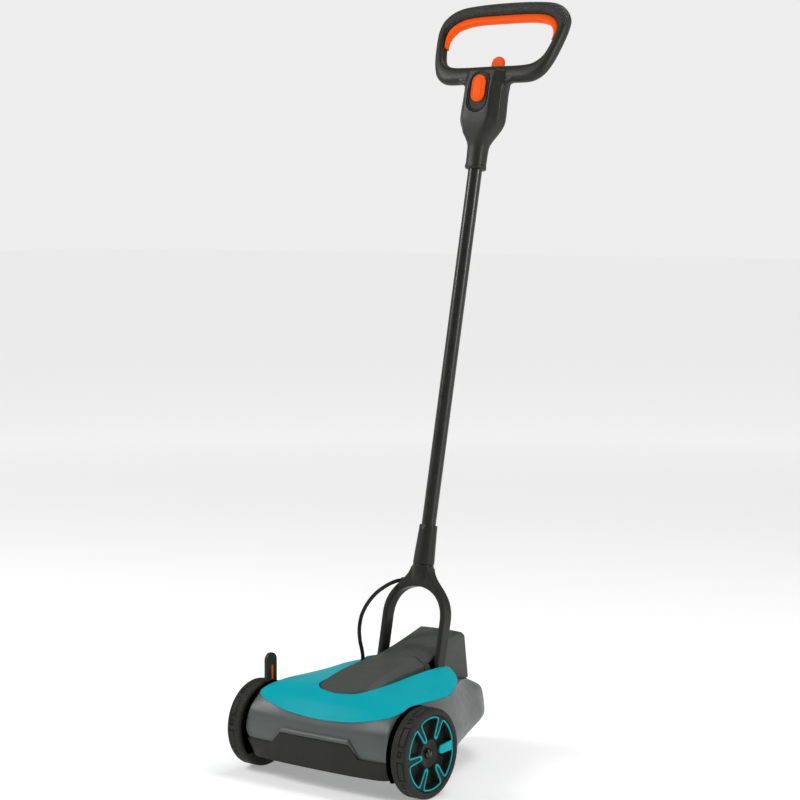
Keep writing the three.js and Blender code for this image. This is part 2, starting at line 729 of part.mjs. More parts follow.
function batteryTray() {
  const { x, y0, y1, z0 } = BATTERY;
  const shelf = box(-x, x, y0 - 6, y1 + 3, z0 - 4, z0 - GAP);
  const front = box(-x, x, y0 - 6, y0 - 3.5, z0 - 4, z0 + 30);
  const ribs = [y0 - 6, y1 - 40].map((y) => box(-x + 2, x - 2, y, y + 3, FLOOR_TOP + GAP, z0 - 3));
  return join(shelf, front, ...ribs);
}

function batteryPack() {
  const { x, y0, y1, z0, z1 } = BATTERY;
  const outline = new THREE.Shape();
  outline.moveTo(-x + 6, z0);
  outline.lineTo(x - 6, z0);
  outline.lineTo(x, z0 + 6);
  outline.lineTo(x, z1 - 8);
  outline.lineTo(x - 8, z1);
  outline.lineTo(-x + 8, z1);
  outline.lineTo(-x, z1 - 8);
  outline.lineTo(-x, z0 + 6);
  outline.closePath();
  const body = slabY(outline, y0, y1);
  const pocket = box(-10, 10, y1 - 24, y1 - 8, z1 - 4, z1 + 5);
  const contacts = box(-22, 22, y0 - 1, y0 + 8, z0 + 8, z0 + 24);
  return cut(body, pocket, contacts);
}

const releaseButton = box(-9.6, 9.6, BATTERY.y1 - 23.6, BATTERY.y1 - 8.4, BATTERY.z1 - 1.4, BATTERY.z1 + 3);
const terminals = join(
  box(-20, 20, BATTERY.y0 - 3.1, BATTERY.y0 - 1.2, BATTERY.z0 + 9, BATTERY.z0 + 23),
  ...[-15, -5, 5, 15].map((x) => {
    return box(x - 1, x + 1, BATTERY.y0 - 2, BATTERY.y0 + 6, BATTERY.z0 + 11, BATTERY.z0 + 21);
  }),
);

piece(mower, 'controller_board', controllerBoard(), BOARD);
piece(mower, 'battery_tray', batteryTray(), DARK);
piece(mower, 'battery_pack', batteryPack(), DARK);
piece(mower, 'battery_release', releaseButton, ORANGE);
piece(mower, 'battery_terminals', terminals, COPPER);
piece(mower, 'lid_pin', rodX(1.3, -19, 19, HINGE.y, HINGE.z, 12), STEEL);

// ---------- yoke, sleeve and tube, in the stick's own frame ----------
// Across the stick is X, behind it is +Y, and Z is the distance up from the yoke pivot.

// A closed outline through points given for one half, mirrored across X = 0.
function mirroredOutline(half) {
  const right = half.map(([x, z]) => new THREE.Vector2(x, z));
  const left = right.filter((p) => p.x > 0).map((p) => new THREE.Vector2(-p.x, p.y)).reverse();
  const shape = new THREE.Shape();
  shape.moveTo(right[0].x, right[0].y);
  shape.splineThru(right.slice(1));
  shape.splineThru([...left, right[0]]);
  return new THREE.Shape(shape.getPoints(2));
}

function yokeStrap() {
  const shape = new THREE.Shape();
  shape.moveTo(-LEG_OUT, 0);
  shape.lineTo(-LEG_OUT, 84);
  shape.bezierCurveTo(-LEG_OUT, 112, -41, 126, -29, 138);
  shape.bezierCurveTo(-22, 145, -17, 152, -16, YOKE_TOP - 4);
  shape.lineTo(16, YOKE_TOP - 4);
  shape.bezierCurveTo(17, 152, 22, 145, 29, 138);
  shape.bezierCurveTo(41, 126, LEG_OUT, 112, LEG_OUT, 84);
  shape.lineTo(LEG_OUT, 0);
  shape.lineTo(LEG_IN, 0);
  shape.lineTo(LEG_IN, 82);
  shape.bezierCurveTo(LEG_IN, 110, 30, 129.5, 0, 129.5);
  shape.bezierCurveTo(-30, 129.5, -LEG_IN, 110, -LEG_IN, 82);
  shape.lineTo(-LEG_IN, 0);
  shape.closePath();
  return slabY(new THREE.Shape(shape.getPoints(5)), -LEG_DEPTH / 2, LEG_DEPTH / 2, 1.8);
}

function tubeBore(low, high) {
  return rodZ(TUBE_R + GAP, TUBE_R + GAP, 0, 0, low, high, 32);
}

// The cable enters the yoke's left shoulder along a level line turned this far from -X.
const GLAND = new THREE.Vector3(-30, 0, 135.5);
const GLAND_TURN = THREE.MathUtils.degToRad(50.2);

function atGland(geometry) {
  return geometry.rotateZ(GLAND_TURN).translate(GLAND.x, GLAND.y, GLAND.z);
}

function yoke() {
  const stem = [[21, 10.5, 132], [18.5, 13.2, 140], [17.3, 15.2, 148], [16.4, 16.4, YOKE_TOP]];
  const rings = stem.map(([x, y, z]) => ellipseRing(x, y, y, z, 2, 20));
  const ears = [-1, 1].map((side) => rodX(EAR_R, side * LEG_IN, side * LEG_OUT, 0, 0));
  const body = join(yokeStrap(), stackSolid(rings), ...ears);
  const pinHole = rodX(PIN_R + 0.15, -80, 80, 0, 0);
  const glandHole = atGland(rodX(3.7, -30, 9, 0, 0, 12));
  const glandSeat = atGland(rodX(5.4, -30, -1, 0, 0, 16));
  return cut(body, tubeBore(148, 170), pinHole, glandHole, glandSeat);
}

piece(stick, 'yoke', yoke(), BLACK);

// Pivot pins run from the hood's inner cheek, through the leg, to a head outside the outer cheek.
function pivotPin() {
  return join(rodX(PIN_R, 38.2, 66, PIVOT_Y, PIVOT_Z), rodX(8, 65.6, 68.2, PIVOT_Y, PIVOT_Z));
}

piece(mower, 'yoke_pin_right', pivotPin(), STEEL);
piece(mower, 'yoke_pin_left', mirrored(pivotPin()), STEEL);

function clampSleeve() {
  const low = YOKE_TOP + GAP;
  const profile = [
    [TUBE_R + GAP, low], [16.4, low], [16.3, low + 8], [14.1, SLEEVE_TOP - 8], [13.8, SLEEVE_TOP - 1],
    [13, SLEEVE_TOP], [TUBE_R + GAP, SLEEVE_TOP],
  ].map(([r, z]) => new THREE.Vector2(r, z));
  profile.push(profile[0].clone());
  const body = new THREE.LatheGeometry(profile, 32).rotateX(Math.PI / 2);
  return cut(body, box(-3, 3, -20, -10, SLEEVE_TOP - 4, SLEEVE_TOP + 5));
}

function tube() {
  const outer = rodZ(TUBE_R, TUBE_R, 0, 0, 148.6, COLLAR + 30, 32);
  return cut(outer, rodZ(TUBE_R - 1.3, TUBE_R - 1.3, 0, 0, 140, COLLAR + 40, 32));
}

piece(stick, 'clamp_sleeve', clampSleeve(), BLACK);
piece(stick, 'handle_tube', tube(), BLACK);

// ---------- handle ----------

const LOOP_OUTER = [
  [0, 140.3], [45, 139.3], [84, 135.5], [105, 126.5], [118, 111], [121.5, 93], [117.5, 64],
  [110.5, 34], [101.5, 13], [89, 2], [74, -2], [37, -2], [0, -2],
];
const LOOP_WINDOW = [
  [0, 118.6], [48, 118], [77, 114.6], [95.5, 105], [104.5, 90], [102.5, 68], [95, 43], [84, 29],
  [65, 22.6], [0, 22.6],
];
const LEVER_WINDOW = [
  [0, 106.6], [46, 106], [70, 103], [85, 95], [94, 83], [96.5, 70], [91, 45], [81, 33],
  [62, 27], [0, 27],
];
const LOOP_MIDDLE = 65;

// Grows (or, below zero, shrinks) an outline of the loop about its middle.
function grown(outline, by) {
  return outline.map(([x, z]) => {
    const reach = Math.hypot(x, z - LOOP_MIDDLE);
    const scale = (reach + by) / reach;
    return [x * scale, LOOP_MIDDLE + (z - LOOP_MIDDLE) * scale];
  });
}

function loopPlate(outline, by, depth, edge = 0) {
  return slabY(mirroredOutline(grown(outline, by)), -depth / 2, depth / 2, edge);
}

// Moves a shape made flat around the loop's foot to the loop's lean behind the stick.
function tilted(geometry) {
  return geometry.rotateX(-LOOP_TILT).translate(0, LOOP_BACK, LOOP_BASE);
}

const LEVER_TRAVEL = 3;
const LEVER_LOW = 63;
const GRIP_LOW = 129;

function loopBar() {
  const window = loopPlate(LOOP_WINDOW, 0, 60);
  const bar = cut(loopPlate(LOOP_OUTER, 0, LOOP_DEPTH, 6), window);
  const hollow = cut(
    loopPlate(LOOP_OUTER, -3, LOOP_DEPTH - 6),
    loopPlate(LOOP_WINDOW, 3, 60),
    box(-200, 200, -30, 30, 118, 160),
    box(-40, 40, -30, 30, -20, 30),
  );
  const grooveSpan = box(-200, 200, -20, 20, LEVER_LOW - 1, 160);
  const groove = common(loopPlate(LOOP_WINDOW, LEVER_TRAVEL + 1.8, 12.4), grooveSpan);
  const gripSeat = box(-200, 200, -30, 30, GRIP_LOW - GAP, 160);
  return cut(bar, hollow, groove, gripSeat);
}

function softGrip() {
  const bar = cut(loopPlate(LOOP_OUTER, 0, LOOP_DEPTH, 6), loopPlate(LOOP_WINDOW, 0, 60));
  return common(bar, box(-200, 200, -30, 30, GRIP_LOW, 160));
}

function startLever() {
  const outer = loopPlate(LOOP_WINDOW, 0.3, 11);
  const inner = loopPlate(LEVER_WINDOW, 0, 60);
  const lever = cut(outer, inner);
  return common(lever, box(-200, 200, -30, 30, LEVER_LOW, 160));
}

// The neck: rings of [height, half width, front depth, back depth].
const NECK = [
  [COLLAR, 15.6, 15.6, 15.6], [787, 16.4, 16.4, 16.4], [792, 15, 15, 15], [816, 15.6, 15.6, 15.6],
  [829, 20, 17.5, 17.5], [846, 31, 20, 20], [860, 36.5, 21, 21], [885, 36, 21, 21],
  [905, 35.5, 20.5, 21], [918, 37, 19.5, 21], [938, 37, 15, 20],
];
const PANEL = { low: 869, high: 935, half: 18.5 };
const BUTTON = { low: 884.6, high: 927.4, half: 12.4, front: -22.6, rear: -10 };

function oval({ low, high, half }, by = 0) {
  const shape = new THREE.Shape();
  const r = half + by;
  shape.absarc(0, low + half, r, Math.PI, 2 * Math.PI, false);
  shape.absarc(0, high - half, r, 0, Math.PI, false);
  shape.closePath();
  return new THREE.Shape(shape.getPoints(5));
}

function neckSolid(by = 0) {
  return stackSolid(NECK.map(([z, x, front, back]) => ellipseRing(x - by, front - by, back - by, z, 2.5, 20)));
}

function handleBody() {
  const neckHollow = common(neckSolid(3), box(-60, 60, -40, 40, 836, 880));
  const whole = join(neckSolid(), tilted(loopBar()));
  const buttonWell = slabY(oval(BUTTON, 0.5), -40, -4);
  const panelSeat = slabY(oval(PANEL, 0.4), -40, -17.9);
  const tabSeat = box(-14, 14, 15.3, 60, 908, 924);
  return cut(whole, neckHollow, tubeBore(770, COLLAR + 31), buttonWell, panelSeat, tabSeat);
}

// Everything behind both the stick's middle plane and the loop's middle plane.
function rearHalfSpace(shift) {
  const behindStick = box(-300, 300, shift, 400, 600, 1300);
  const behindLoop = tilted(box(-300, 300, shift, 400, -400, 400));
  return common(behindStick, behindLoop);
}

const body = handleBody();
piece(stick, 'handle_front_shell', cut(body, rearHalfSpace(-0.2)), BLACK);
piece(stick, 'handle_rear_shell', common(body, rearHalfSpace(0.2)), BLACK);
piece(stick, 'soft_grip', tilted(softGrip()), RUBBER);
piece(stick, 'start_lever', tilted(startLever()), ORANGE);

const panelPlate = cut(slabY(oval(PANEL), -20.6, -18.3, 0.8), slabY(oval(BUTTON, 0.5), -40, 0));
piece(stick, 'button_panel', panelPlate, DARK);
piece(stick, 'lock_button', slabY(oval(BUTTON), BUTTON.front, BUTTON.rear, 1.6), ORANGE);

const TAB = { foot: 916, top: 969, half: 12.2, front: 22.2, rear: 27, pin: 21.2 };

function thumbTab() {
  const shape = new THREE.Shape();
  shape.moveTo(-TAB.half, TAB.foot);
  shape.lineTo(-TAB.half, TAB.top - TAB.half);
  shape.absarc(0, TAB.top - TAB.half, TAB.half, Math.PI, 0, true);
  shape.lineTo(TAB.half, TAB.foot);
  shape.closePath();
  const plate = slabY(new THREE.Shape(shape.getPoints(6)), TAB.front, TAB.rear, 1.4);
  const knuckle = rodX(4.4, -TAB.half, TAB.half, TAB.pin, TAB.foot, 20);
  return cut(join(plate, knuckle), rodX(1.7, -20, 20, TAB.pin, TAB.foot, 12));
}

piece(stick, 'thumb_lever', thumbTab(), ORANGE);
piece(stick, 'thumb_lever_pin', rodX(1.4, -13.5, 13.5, TAB.pin, TAB.foot, 12), STEEL);

const switchBlock = join(box(-12, 12, -8, -1.2, 846, 866), box(-5, 5, -10, -7, 850, 862));
piece(stick, 'switch_module', switchBlock, DARK);

// ---------- cable between the yoke and the hood ----------

const CABLE_R = 3;
const CABLE_FOOT = { x: -53.9, y: 122 };
const CABLE_ROUTE = [
  [-25.5, 203.4, 262.9], [-30, 198.1, 264.1], [-36, 191.1, 264.9], [-43.5, 181.3, 261.6],
  [-49.3, 166.7, 255.3], [-53.3, 151.5, 247], [-56, 136, 234.3], [-57.4, 125.5, 221],
  [-57.5, 120.1, 208.3], [-57, 117.5, 195.1], [-56, 118.1, 179.7], [-54.8, 120.7, 167.4],
  [CABLE_FOOT.x, CABLE_FOOT.y, 157], [CABLE_FOOT.x, CABLE_FOOT.y, 146],
  [CABLE_FOOT.x, CABLE_FOOT.y, 134],
].map(([x, y, z]) => new THREE.Vector3(x, y, z));

function cable() {
  const route = new THREE.CatmullRomCurve3(CABLE_ROUTE);
  const section = new THREE.Shape();
  section.absarc(0, 0, CABLE_R, 0, 2 * Math.PI, false);
  return new THREE.ExtrudeGeometry(section, {
    steps: 30,
    curveSegments: 5,
    bevelEnabled: false,
    extrudePath: route,
  });
}

function deckGland() {
  const bore = CABLE_R + 0.7;
  const profile = [[bore, 139], [4.8, 139], [4.8, 147], [4.2, 150], [bore, 150]];
  const points = profile.map(([r, z]) => new THREE.Vector2(r, z));
  points.push(points[0].clone());
  const ring = new THREE.LatheGeometry(points, 20).rotateX(Math.PI / 2);
  return ring.translate(CABLE_FOOT.x, CABLE_FOOT.y, 0);
}

function yokeGland() {
  const bore = CABLE_R + 0.7;
  const profile = [[bore, -6.5], [4.5, -6.5], [5, -4.5], [5, -1.4], [bore, -1.4]];
  return atGland(turnX(profile, 0, 0, 16));
}

piece(mower, 'cable', cable(), BLACK);
piece(mower, 'deck_cable_gland', deckGland(), BLACK);
piece(stick, 'yoke_cable_gland', yokeGland(), BLACK);

// ---------- return springs ----------

// A coil spring along Z with its foot at the origin.
function coilSpring(radius, wire, length, turns) {
  const steps = turns * 7;
  const points = Array.from({ length: steps + 1 }, (_, i) => {
    const angle = (i / steps) * turns * 2 * Math.PI;
    const height = wire + ((length - 2 * wire) * i) / steps;
    return new THREE.Vector3(radius * Math.cos(angle), radius * Math.sin(angle), height);
  });
  const section = new THREE.Shape();
  section.absarc(0, 0, wire, 0, 2 * Math.PI, false);
  return new THREE.ExtrudeGeometry(section, {
    steps,
    curveSegments: 2,
    bevelEnabled: false,
    extrudePath: new THREE.CatmullRomCurve3(points),
  });
}

const buttonSpring = coilSpring(3, 0.5, 5.4, 4).rotateX(Math.PI / 2);
piece(stick, 'button_spring', buttonSpring.translate(0, -4.3, 905), STEEL);

export default group;
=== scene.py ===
# A compact cordless lawn mower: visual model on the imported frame.
# Shapes are worked out in millimetres from the front axle's middle on the floor (X across, Y to the
# rear, Z up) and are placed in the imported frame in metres.
import math

import bmesh
import bpy
import numpy as np
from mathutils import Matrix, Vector


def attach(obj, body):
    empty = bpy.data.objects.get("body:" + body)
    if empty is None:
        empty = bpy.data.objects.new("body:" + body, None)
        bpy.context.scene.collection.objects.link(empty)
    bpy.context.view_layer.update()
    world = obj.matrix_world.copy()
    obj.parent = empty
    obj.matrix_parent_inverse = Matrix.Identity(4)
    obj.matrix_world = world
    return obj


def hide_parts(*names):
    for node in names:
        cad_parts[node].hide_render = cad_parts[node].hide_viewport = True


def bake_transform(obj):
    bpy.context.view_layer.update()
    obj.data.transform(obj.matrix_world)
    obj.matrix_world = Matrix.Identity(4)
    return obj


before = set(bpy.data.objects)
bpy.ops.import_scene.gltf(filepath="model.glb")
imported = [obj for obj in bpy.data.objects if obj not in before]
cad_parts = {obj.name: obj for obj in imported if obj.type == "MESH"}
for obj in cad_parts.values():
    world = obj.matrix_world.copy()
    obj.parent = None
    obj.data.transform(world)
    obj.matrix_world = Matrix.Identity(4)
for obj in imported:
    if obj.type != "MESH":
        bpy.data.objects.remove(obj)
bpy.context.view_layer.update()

MM = 0.001
SETBACK = 189.75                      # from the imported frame's origin forward to the front axle
PIVOT_Y, PIVOT_Z = 168.4, 131.9       # the yoke's pins
LEAN = math.radians(12.656)           # of the handle stick, backwards
WHEEL_R = 64.85
TUBE_R = 11.0
LID_FRONT, LID_FOOT = 142.0, 155.0
HOOD_BACK = 251.0
FULL_TURN = 2 * math.pi


# ---------- camera, light and floor ----------

def add_object(name, data):
    obj = bpy.data.objects.new(name, data)
    bpy.context.collection.objects.link(obj)
    return obj


def camera():
    data = bpy.data.cameras.new("camera")
    data.lens = 94.05
    data.sensor_width = 36.0
    data.clip_start, data.clip_end = 0.05, 50.0
    obj = add_object("camera", data)
    obj.location = (1.8711, (-2345.9 - SETBACK) * MM, 0.8316)
    obj.rotation_euler = (math.radians(90 - 5.193), 0.0, math.radians(36.918))
    bpy.context.scene.camera = obj


def softbox(name, place, aim, size, power):
    data = bpy.data.lights.new(name, "AREA")
    data.shape = "RECTANGLE"
    data.size, data.size_y = size
    data.energy = power
    obj = add_object(name, data)
    obj.location = place
    obj.rotation_euler = (Vector(aim) - Vector(place)).to_track_quat("-Z", "Y").to_euler()


def set_inputs(node, values):
    for label, value in values.items():
        node.inputs[label].default_value = value


def map_range(tree, source, start, stop, low, high):
    """A value that runs from low to high while the source runs from start to stop."""
    node = tree.nodes.new("ShaderNodeMapRange")
    set_inputs(node, {"From Min": start, "From Max": stop, "To Min": low, "To Max": high})
    tree.links.new(source, node.inputs["Value"])
    return node.outputs["Result"]


def sky():
    """A pale world near the horizon and a darker one above, so that gloss stays low."""
    world = bpy.data.worlds.new("studio")
    world.use_nodes = True
    tree = world.node_tree
    back = tree.nodes["Background"]
    back.inputs["Color"].default_value = (1.0, 1.0, 1.0, 1.0)
    coords = tree.nodes.new("ShaderNodeTexCoord")
    split = tree.nodes.new("ShaderNodeSeparateXYZ")
    tree.links.new(coords.outputs["Generated"], split.inputs["Vector"])
    tree.links.new(map_range(tree, split.outputs["Z"], 0.1, 0.16, 0.85, 0.2), back.inputs["Strength"])
    bpy.context.scene.world = world


def ground():
    """A white floor that glows a little more with its distance, in place of a backdrop."""
    far = 30.0
    mesh = bpy.data.meshes.new("floor")
    corners = [(-far, -far, 0), (far, -far, 0), (far, far, 0), (-far, far, 0)]
    mesh.from_pydata(corners, [], [(0, 1, 2, 3)])
    paint = bpy.data.materials.new("floor_white")
    paint.use_nodes = True
    tree = paint.node_tree
    shader = tree.nodes["Principled BSDF"]
    set_inputs(shader, {"Base Color": (0.95, 0.95, 0.95, 1.0), "Roughness": 0.9,
                        "Emission Color": (1.0, 1.0, 1.0, 1.0)})
    place = tree.nodes.new("ShaderNodeTexCoord")
    away = tree.nodes.new("ShaderNodeVectorMath")
    away.operation = "LENGTH"
    tree.links.new(place.outputs["Object"], away.inputs[0])
    glow = map_range(tree, away.outputs["Value"], 1.2, 4.5, 0.3, 0.62)
    tree.links.new(glow, shader.inputs["Emission Strength"])
    mesh.materials.append(paint)
    add_object("floor", mesh)


def studio():
    sky()
    softbox("key_left", (-1.9, -1.5, 2.2), (0.0, 0.0, 0.3), (0.9, 1.6), 50.0)
    softbox("side_right", (2.4, 0.35, 1.2), (0.0, 0.0, 0.45), (0.8, 2.0), 13.0)
    softbox("above", (0.2, 0.9, 2.8), (0.0, 0.0, 0.2), (1.2, 1.2), 22.0)
    softbox("neck_right", (1.5, 0.25, 1.3), (0.0, 0.15, 0.95), (0.25, 0.7), 8.0)
    bpy.context.scene.view_settings.view_transform = "Standard"
    ground()


# ---------- materials ----------

def surface(name, colour, rough, spread=0.06, grain=900.0, bump=0.08, tint=0.12, metal=0.0, shine=0.3):
    """A moulded or metal finish: slow colour change, fine grain in the bump and uneven gloss."""
    mat = bpy.data.materials.new(name)
    mat.use_nodes = True
    tree = mat.node_tree
    shader = tree.nodes["Principled BSDF"]
    set_inputs(shader, {"Metallic": metal, "Specular IOR Level": shine, "Coat Roughness": 0.12})
    coords = tree.nodes.new("ShaderNodeTexCoord")

    def noise(scale, detail=3.0):
        node = tree.nodes.new("ShaderNodeTexNoise")
        set_inputs(node, {"Scale": scale, "Detail": detail})
        tree.links.new(coords.outputs["Object"], node.inputs["Vector"])
        return node.outputs["Fac"]

    blotch = 18.0
    ramp = tree.nodes.new("ShaderNodeValToRGB")
    for stop, place, factor in zip(ramp.color_ramp.elements, (0.3, 0.7), (1 - tint, 1 + tint)):
        stop.position = place
        stop.color = (*[min(1.0, c * factor) for c in colour], 1.0)
    tree.links.new(noise(blotch), ramp.inputs["Fac"])
    tree.links.new(ramp.outputs["Color"], shader.inputs["Base Color"])
    smoothest, roughest = max(0.02, rough - spread), min(1.0, rough + spread)
    gloss = map_range(tree, noise(blotch * 5), 0.3, 0.7, smoothest, roughest)
    tree.links.new(gloss, shader.inputs["Roughness"])
    relief = tree.nodes.new("ShaderNodeBump")
    set_inputs(relief, {"Strength": bump, "Distance": 0.0004})
    tree.links.new(noise(grain, 2.0), relief.inputs["Height"])
    tree.links.new(relief.outputs["Normal"], shader.inputs["Normal"])
    return mat


def pimpled(name, colour, rough, scale):
    """Rubber with a field of small raised dots; its colour follows their height, with painted shade between
    the dots and painted highlight on them.
    """
    mat = surface(name, colour, rough)
    tree = mat.node_tree
    coords, ramp, relief = (next(n for n in tree.nodes if n.bl_idname == "ShaderNode" + kind)
                            for kind in ("TexCoord", "ValToRGB", "Bump"))
    cells = tree.nodes.new("ShaderNodeTexVoronoi")
    set_inputs(cells, {"Scale": scale, "Randomness": 0.35})
    tree.links.new(coords.outputs["Object"], cells.inputs["Vector"])
    dots = map_range(tree, cells.outputs["Distance"], 0.1, 0.5, 1.0, 0.0)
    set_inputs(relief, {"Strength": 0.9, "Distance": 0.001})
    tree.links.new(dots, relief.inputs["Height"])
    # Painted shade in the hollows between the dots and painted highlight on the dots' tops.
    for stop, factor in zip(ramp.color_ramp.elements, (0.45, 1.9)):
        stop.color = (*[c * factor for c in colour], 1.0)
    tree.links.new(dots, ramp.inputs["Fac"])
    return mat


CYAN = surface("cover_cyan", (0.0, 0.40, 0.47), 0.4, 0.01, grain=2600, bump=0.002, tint=0.03, shine=0.09)
TRIM_CYAN = surface("trim_cyan", (0.0, 0.40, 0.45), 0.4, grain=2600, bump=0.01, tint=0.04, shine=0.06)
GREY = surface("body_grey", (0.09, 0.104, 0.098), 0.36, grain=1400, bump=0.07, tint=0.06, shine=0.3)
HOOD_GREY = surface("hood_grey", (0.067, 0.074, 0.065), 0.42, grain=1400, bump=0.08, tint=0.06, shine=0.2)
SKIRT = surface("skirt_dark", (0.024, 0.024, 0.021), 0.5, grain=1300, bump=0.1, tint=0.1, shine=0.15)
BLACK = surface("black_plastic", (0.0185, 0.019, 0.0145), 0.42, 0.04, grain=1300, bump=0.04, tint=0.15,
                shine=0.25)
GLOSS_BLACK = surface("gloss_black", (0.003, 0.003, 0.003), 0.12, grain=300, bump=0.01, shine=0.5)
# Near black without gloss: the arch linings, and the painted shade of the seam strip and of the sheets beside
# the yoke's legs.
BLACK_AND_PAINTED_SHADE = surface("arch_black_and_painted_shade", (0.001, 0.001, 0.001), 0.8, grain=1200, bump=0.08, shine=0.0)
TUBE = surface("tube_coat", (0.013, 0.014, 0.011), 0.3, grain=1600, bump=0.005, tint=0.1, shine=0.42)
WHEEL = surface("wheel_dark", (0.018, 0.018, 0.015), 0.45, grain=1300, bump=0.08, tint=0.1, shine=0.15)
TYRE = surface("tyre_rubber", (0.026, 0.026, 0.0225), 0.6, grain=900, bump=0.2, tint=0.15, shine=0.15)
ROLLER = surface("roller_black", (0.02, 0.02, 0.02), 0.5, grain=800, bump=0.15)
ORANGE = surface("orange", (1.0, 0.1, 0.001), 0.38, 0.02, grain=2600, bump=0.01, tint=0.04, shine=0.07)
GRIP = pimpled("soft_grip", (0.036, 0.037, 0.031), 0.55, 330)
CABLE = surface("cable_jacket", (0.008, 0.008, 0.0075), 0.42, grain=900, bump=0.08, shine=0.2)
STEEL = surface("zinc_steel", (0.45, 0.46, 0.47), 0.34, grain=500, bump=0.05, metal=1.0)
BLADE_STEEL = surface("blade_steel", (0.36, 0.37, 0.38), 0.3, grain=160, bump=0.12, metal=1.0)
BATTERY = surface("battery_case", (0.03, 0.03, 0.03), 0.5, grain=1200, bump=0.15)
BOARD = surface("circuit_board", (0.01, 0.1, 0.035), 0.4, grain=400, bump=0.05)
BRASS = surface("contacts", (0.6, 0.4, 0.14), 0.3, metal=1.0)


# ---------- mesh helpers ----------

def at_axle(points):
    """Points given in millimetres from the front axle's middle on the floor."""
    a = np.asarray(points, float)
    return np.column_stack([a[:, 0], a[:, 1] - SETBACK, a[:, 2]]) * MM


def at_stick(points):
    """Points given across, behind and along the handle stick from the yoke pivot."""
    a = np.asarray(points, float)
    c, s = math.cos(LEAN), math.sin(LEAN)
    y = PIVOT_Y + a[:, 1] * c + a[:, 2] * s
    z = PIVOT_Z - a[:, 1] * s + a[:, 2] * c
    return np.column_stack([a[:, 0], y - SETBACK, z]) * MM


LOOP_BASE, LOOP_BACK = 922.0, 2.4     # the loop's foot along and behind the stick
LOOP_TILT = math.radians(15)


def at_loop(points):
    """Points given across, behind and up the plane of the loop handle."""
    a = np.asarray(points, float)
    c, s = math.cos(LOOP_TILT), math.sin(LOOP_TILT)
    n = LOOP_BACK + a[:, 1] * c + a[:, 2] * s
    t = LOOP_BASE - a[:, 1] * s + a[:, 2] * c
    return at_stick(np.column_stack([a[:, 0], n, t]))


def put(place, shape):
    """A shape of (points, faces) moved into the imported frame."""
    points, faces = shape
    return place(points), faces


def make(name, shape, material, body, nodes=(), sharp=35.0):
    """A visible piece that rides on a body and stands in for nodes. Edges over sharp degrees are crisp."""
    points, faces = shape
    mesh = bpy.data.meshes.new(name)
    mesh.from_pydata([tuple(p) for p in points], [], [tuple(map(int, f)) for f in faces])
    bm = bmesh.new()
    bm.from_mesh(mesh)
    bmesh.ops.remove_doubles(bm, verts=bm.verts, dist=1e-6)
    bmesh.ops.recalc_face_normals(bm, faces=bm.faces)
    limit = math.radians(sharp)
    for face in bm.faces:
        face.smooth = True
    for edge in bm.edges:
        edge.smooth = len(edge.link_faces) == 2 and edge.calc_face_angle(0.0) < limit
    bm.to_mesh(mesh)
    bm.free()
    mesh.materials.append(material)
    obj = add_object(name, mesh)
    if body:
        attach(obj, body)
    if nodes:
        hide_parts(*nodes)
    return obj


def lofted(rings, wrap=True, loop=False):
    """Points and faces through rings. A loop joins the last ring to the first, otherwise both are capped."""
    count = len(rings[0])
    points = np.concatenate([np.asarray(r, float) for r in rings])
    faces = []
    rows = len(rings) if loop else len(rings) - 1
    spans = count if wrap else count - 1
    for r in range(rows):
        after = (r + 1) % len(rings)
        for i in range(spans):
            j = (i + 1) % count
            faces.append((r * count + i, r * count + j, after * count + j, after * count + i))
    if not loop:
        faces.append(tuple(range(count))[::-1])
        faces.append(tuple((len(rings) - 1) * count + i for i in range(count)))
    return points, faces


def spline(points, per, closed, tension=0.4):
    """A cubic curve through points, with per samples to a span."""
    p = np.asarray(points, float)
    if closed:
        padded = np.vstack([p[-1], p, p[0], p[1]])
    else:
        padded = np.vstack([2 * p[0] - p[1], p, 2 * p[-1] - p[-2]])
    out = []
    for p0, p1, p2, p3 in zip(padded, padded[1:], padded[2:], padded[3:]):
        m1, m2 = tension * (p2 - p0), tension * (p3 - p1)
        for k in range(per):
            t = k / per
            h1 = 2 * t**3 - 3 * t**2 + 1
            h2 = t**3 - 2 * t**2 + t
            h3 = -2 * t**3 + 3 * t**2
            h4 = t**3 - t**2
            out.append(h1 * p1 + h2 * m1 + h3 * p2 + h4 * m2)
    if not closed:
        out.append(p[-1])
    return np.array(out)


def arc(centre, radius, start, stop, count):
    """Points on part of a circle, as (first, second) pairs."""
    return [(centre[0] + radius * math.cos(a), centre[1] + radius * math.sin(a))
            for a in np.linspace(start, stop, count)]


def circle(centre, radius, count):
    return arc(centre, radius, 0, FULL_TURN, count + 1)[:-1]


def turned(profile, segments, centre=(0.0, 0.0), axis="z"):
    """A closed profile of (radius, along) corners turned about a line along X or Z."""
    rings = []
    for i in range(segments):
        a = FULL_TURN * i / segments
        c, s = math.cos(a), math.sin(a)
        ring = [(centre[0] + r * c, centre[1] + r * s, u) for r, u in profile]
        rings.append(np.array([(z, x, y) for x, y, z in ring] if axis == "x" else ring))
    return lofted(rings, loop=True)


def raw_object(name, parts):
    """A working object of closed meshes, with their faces turned out."""
    bm = bmesh.new()
    for points, faces in parts:
        base = [bm.verts.new(p) for p in points]
        for face in faces:
            bm.faces.new([base[k] for k in face])
    bmesh.ops.recalc_face_normals(bm, faces=bm.faces)
    mesh = bpy.data.meshes.new(name)
    bm.to_mesh(mesh)
    bm.free()
    return add_object(name, mesh)


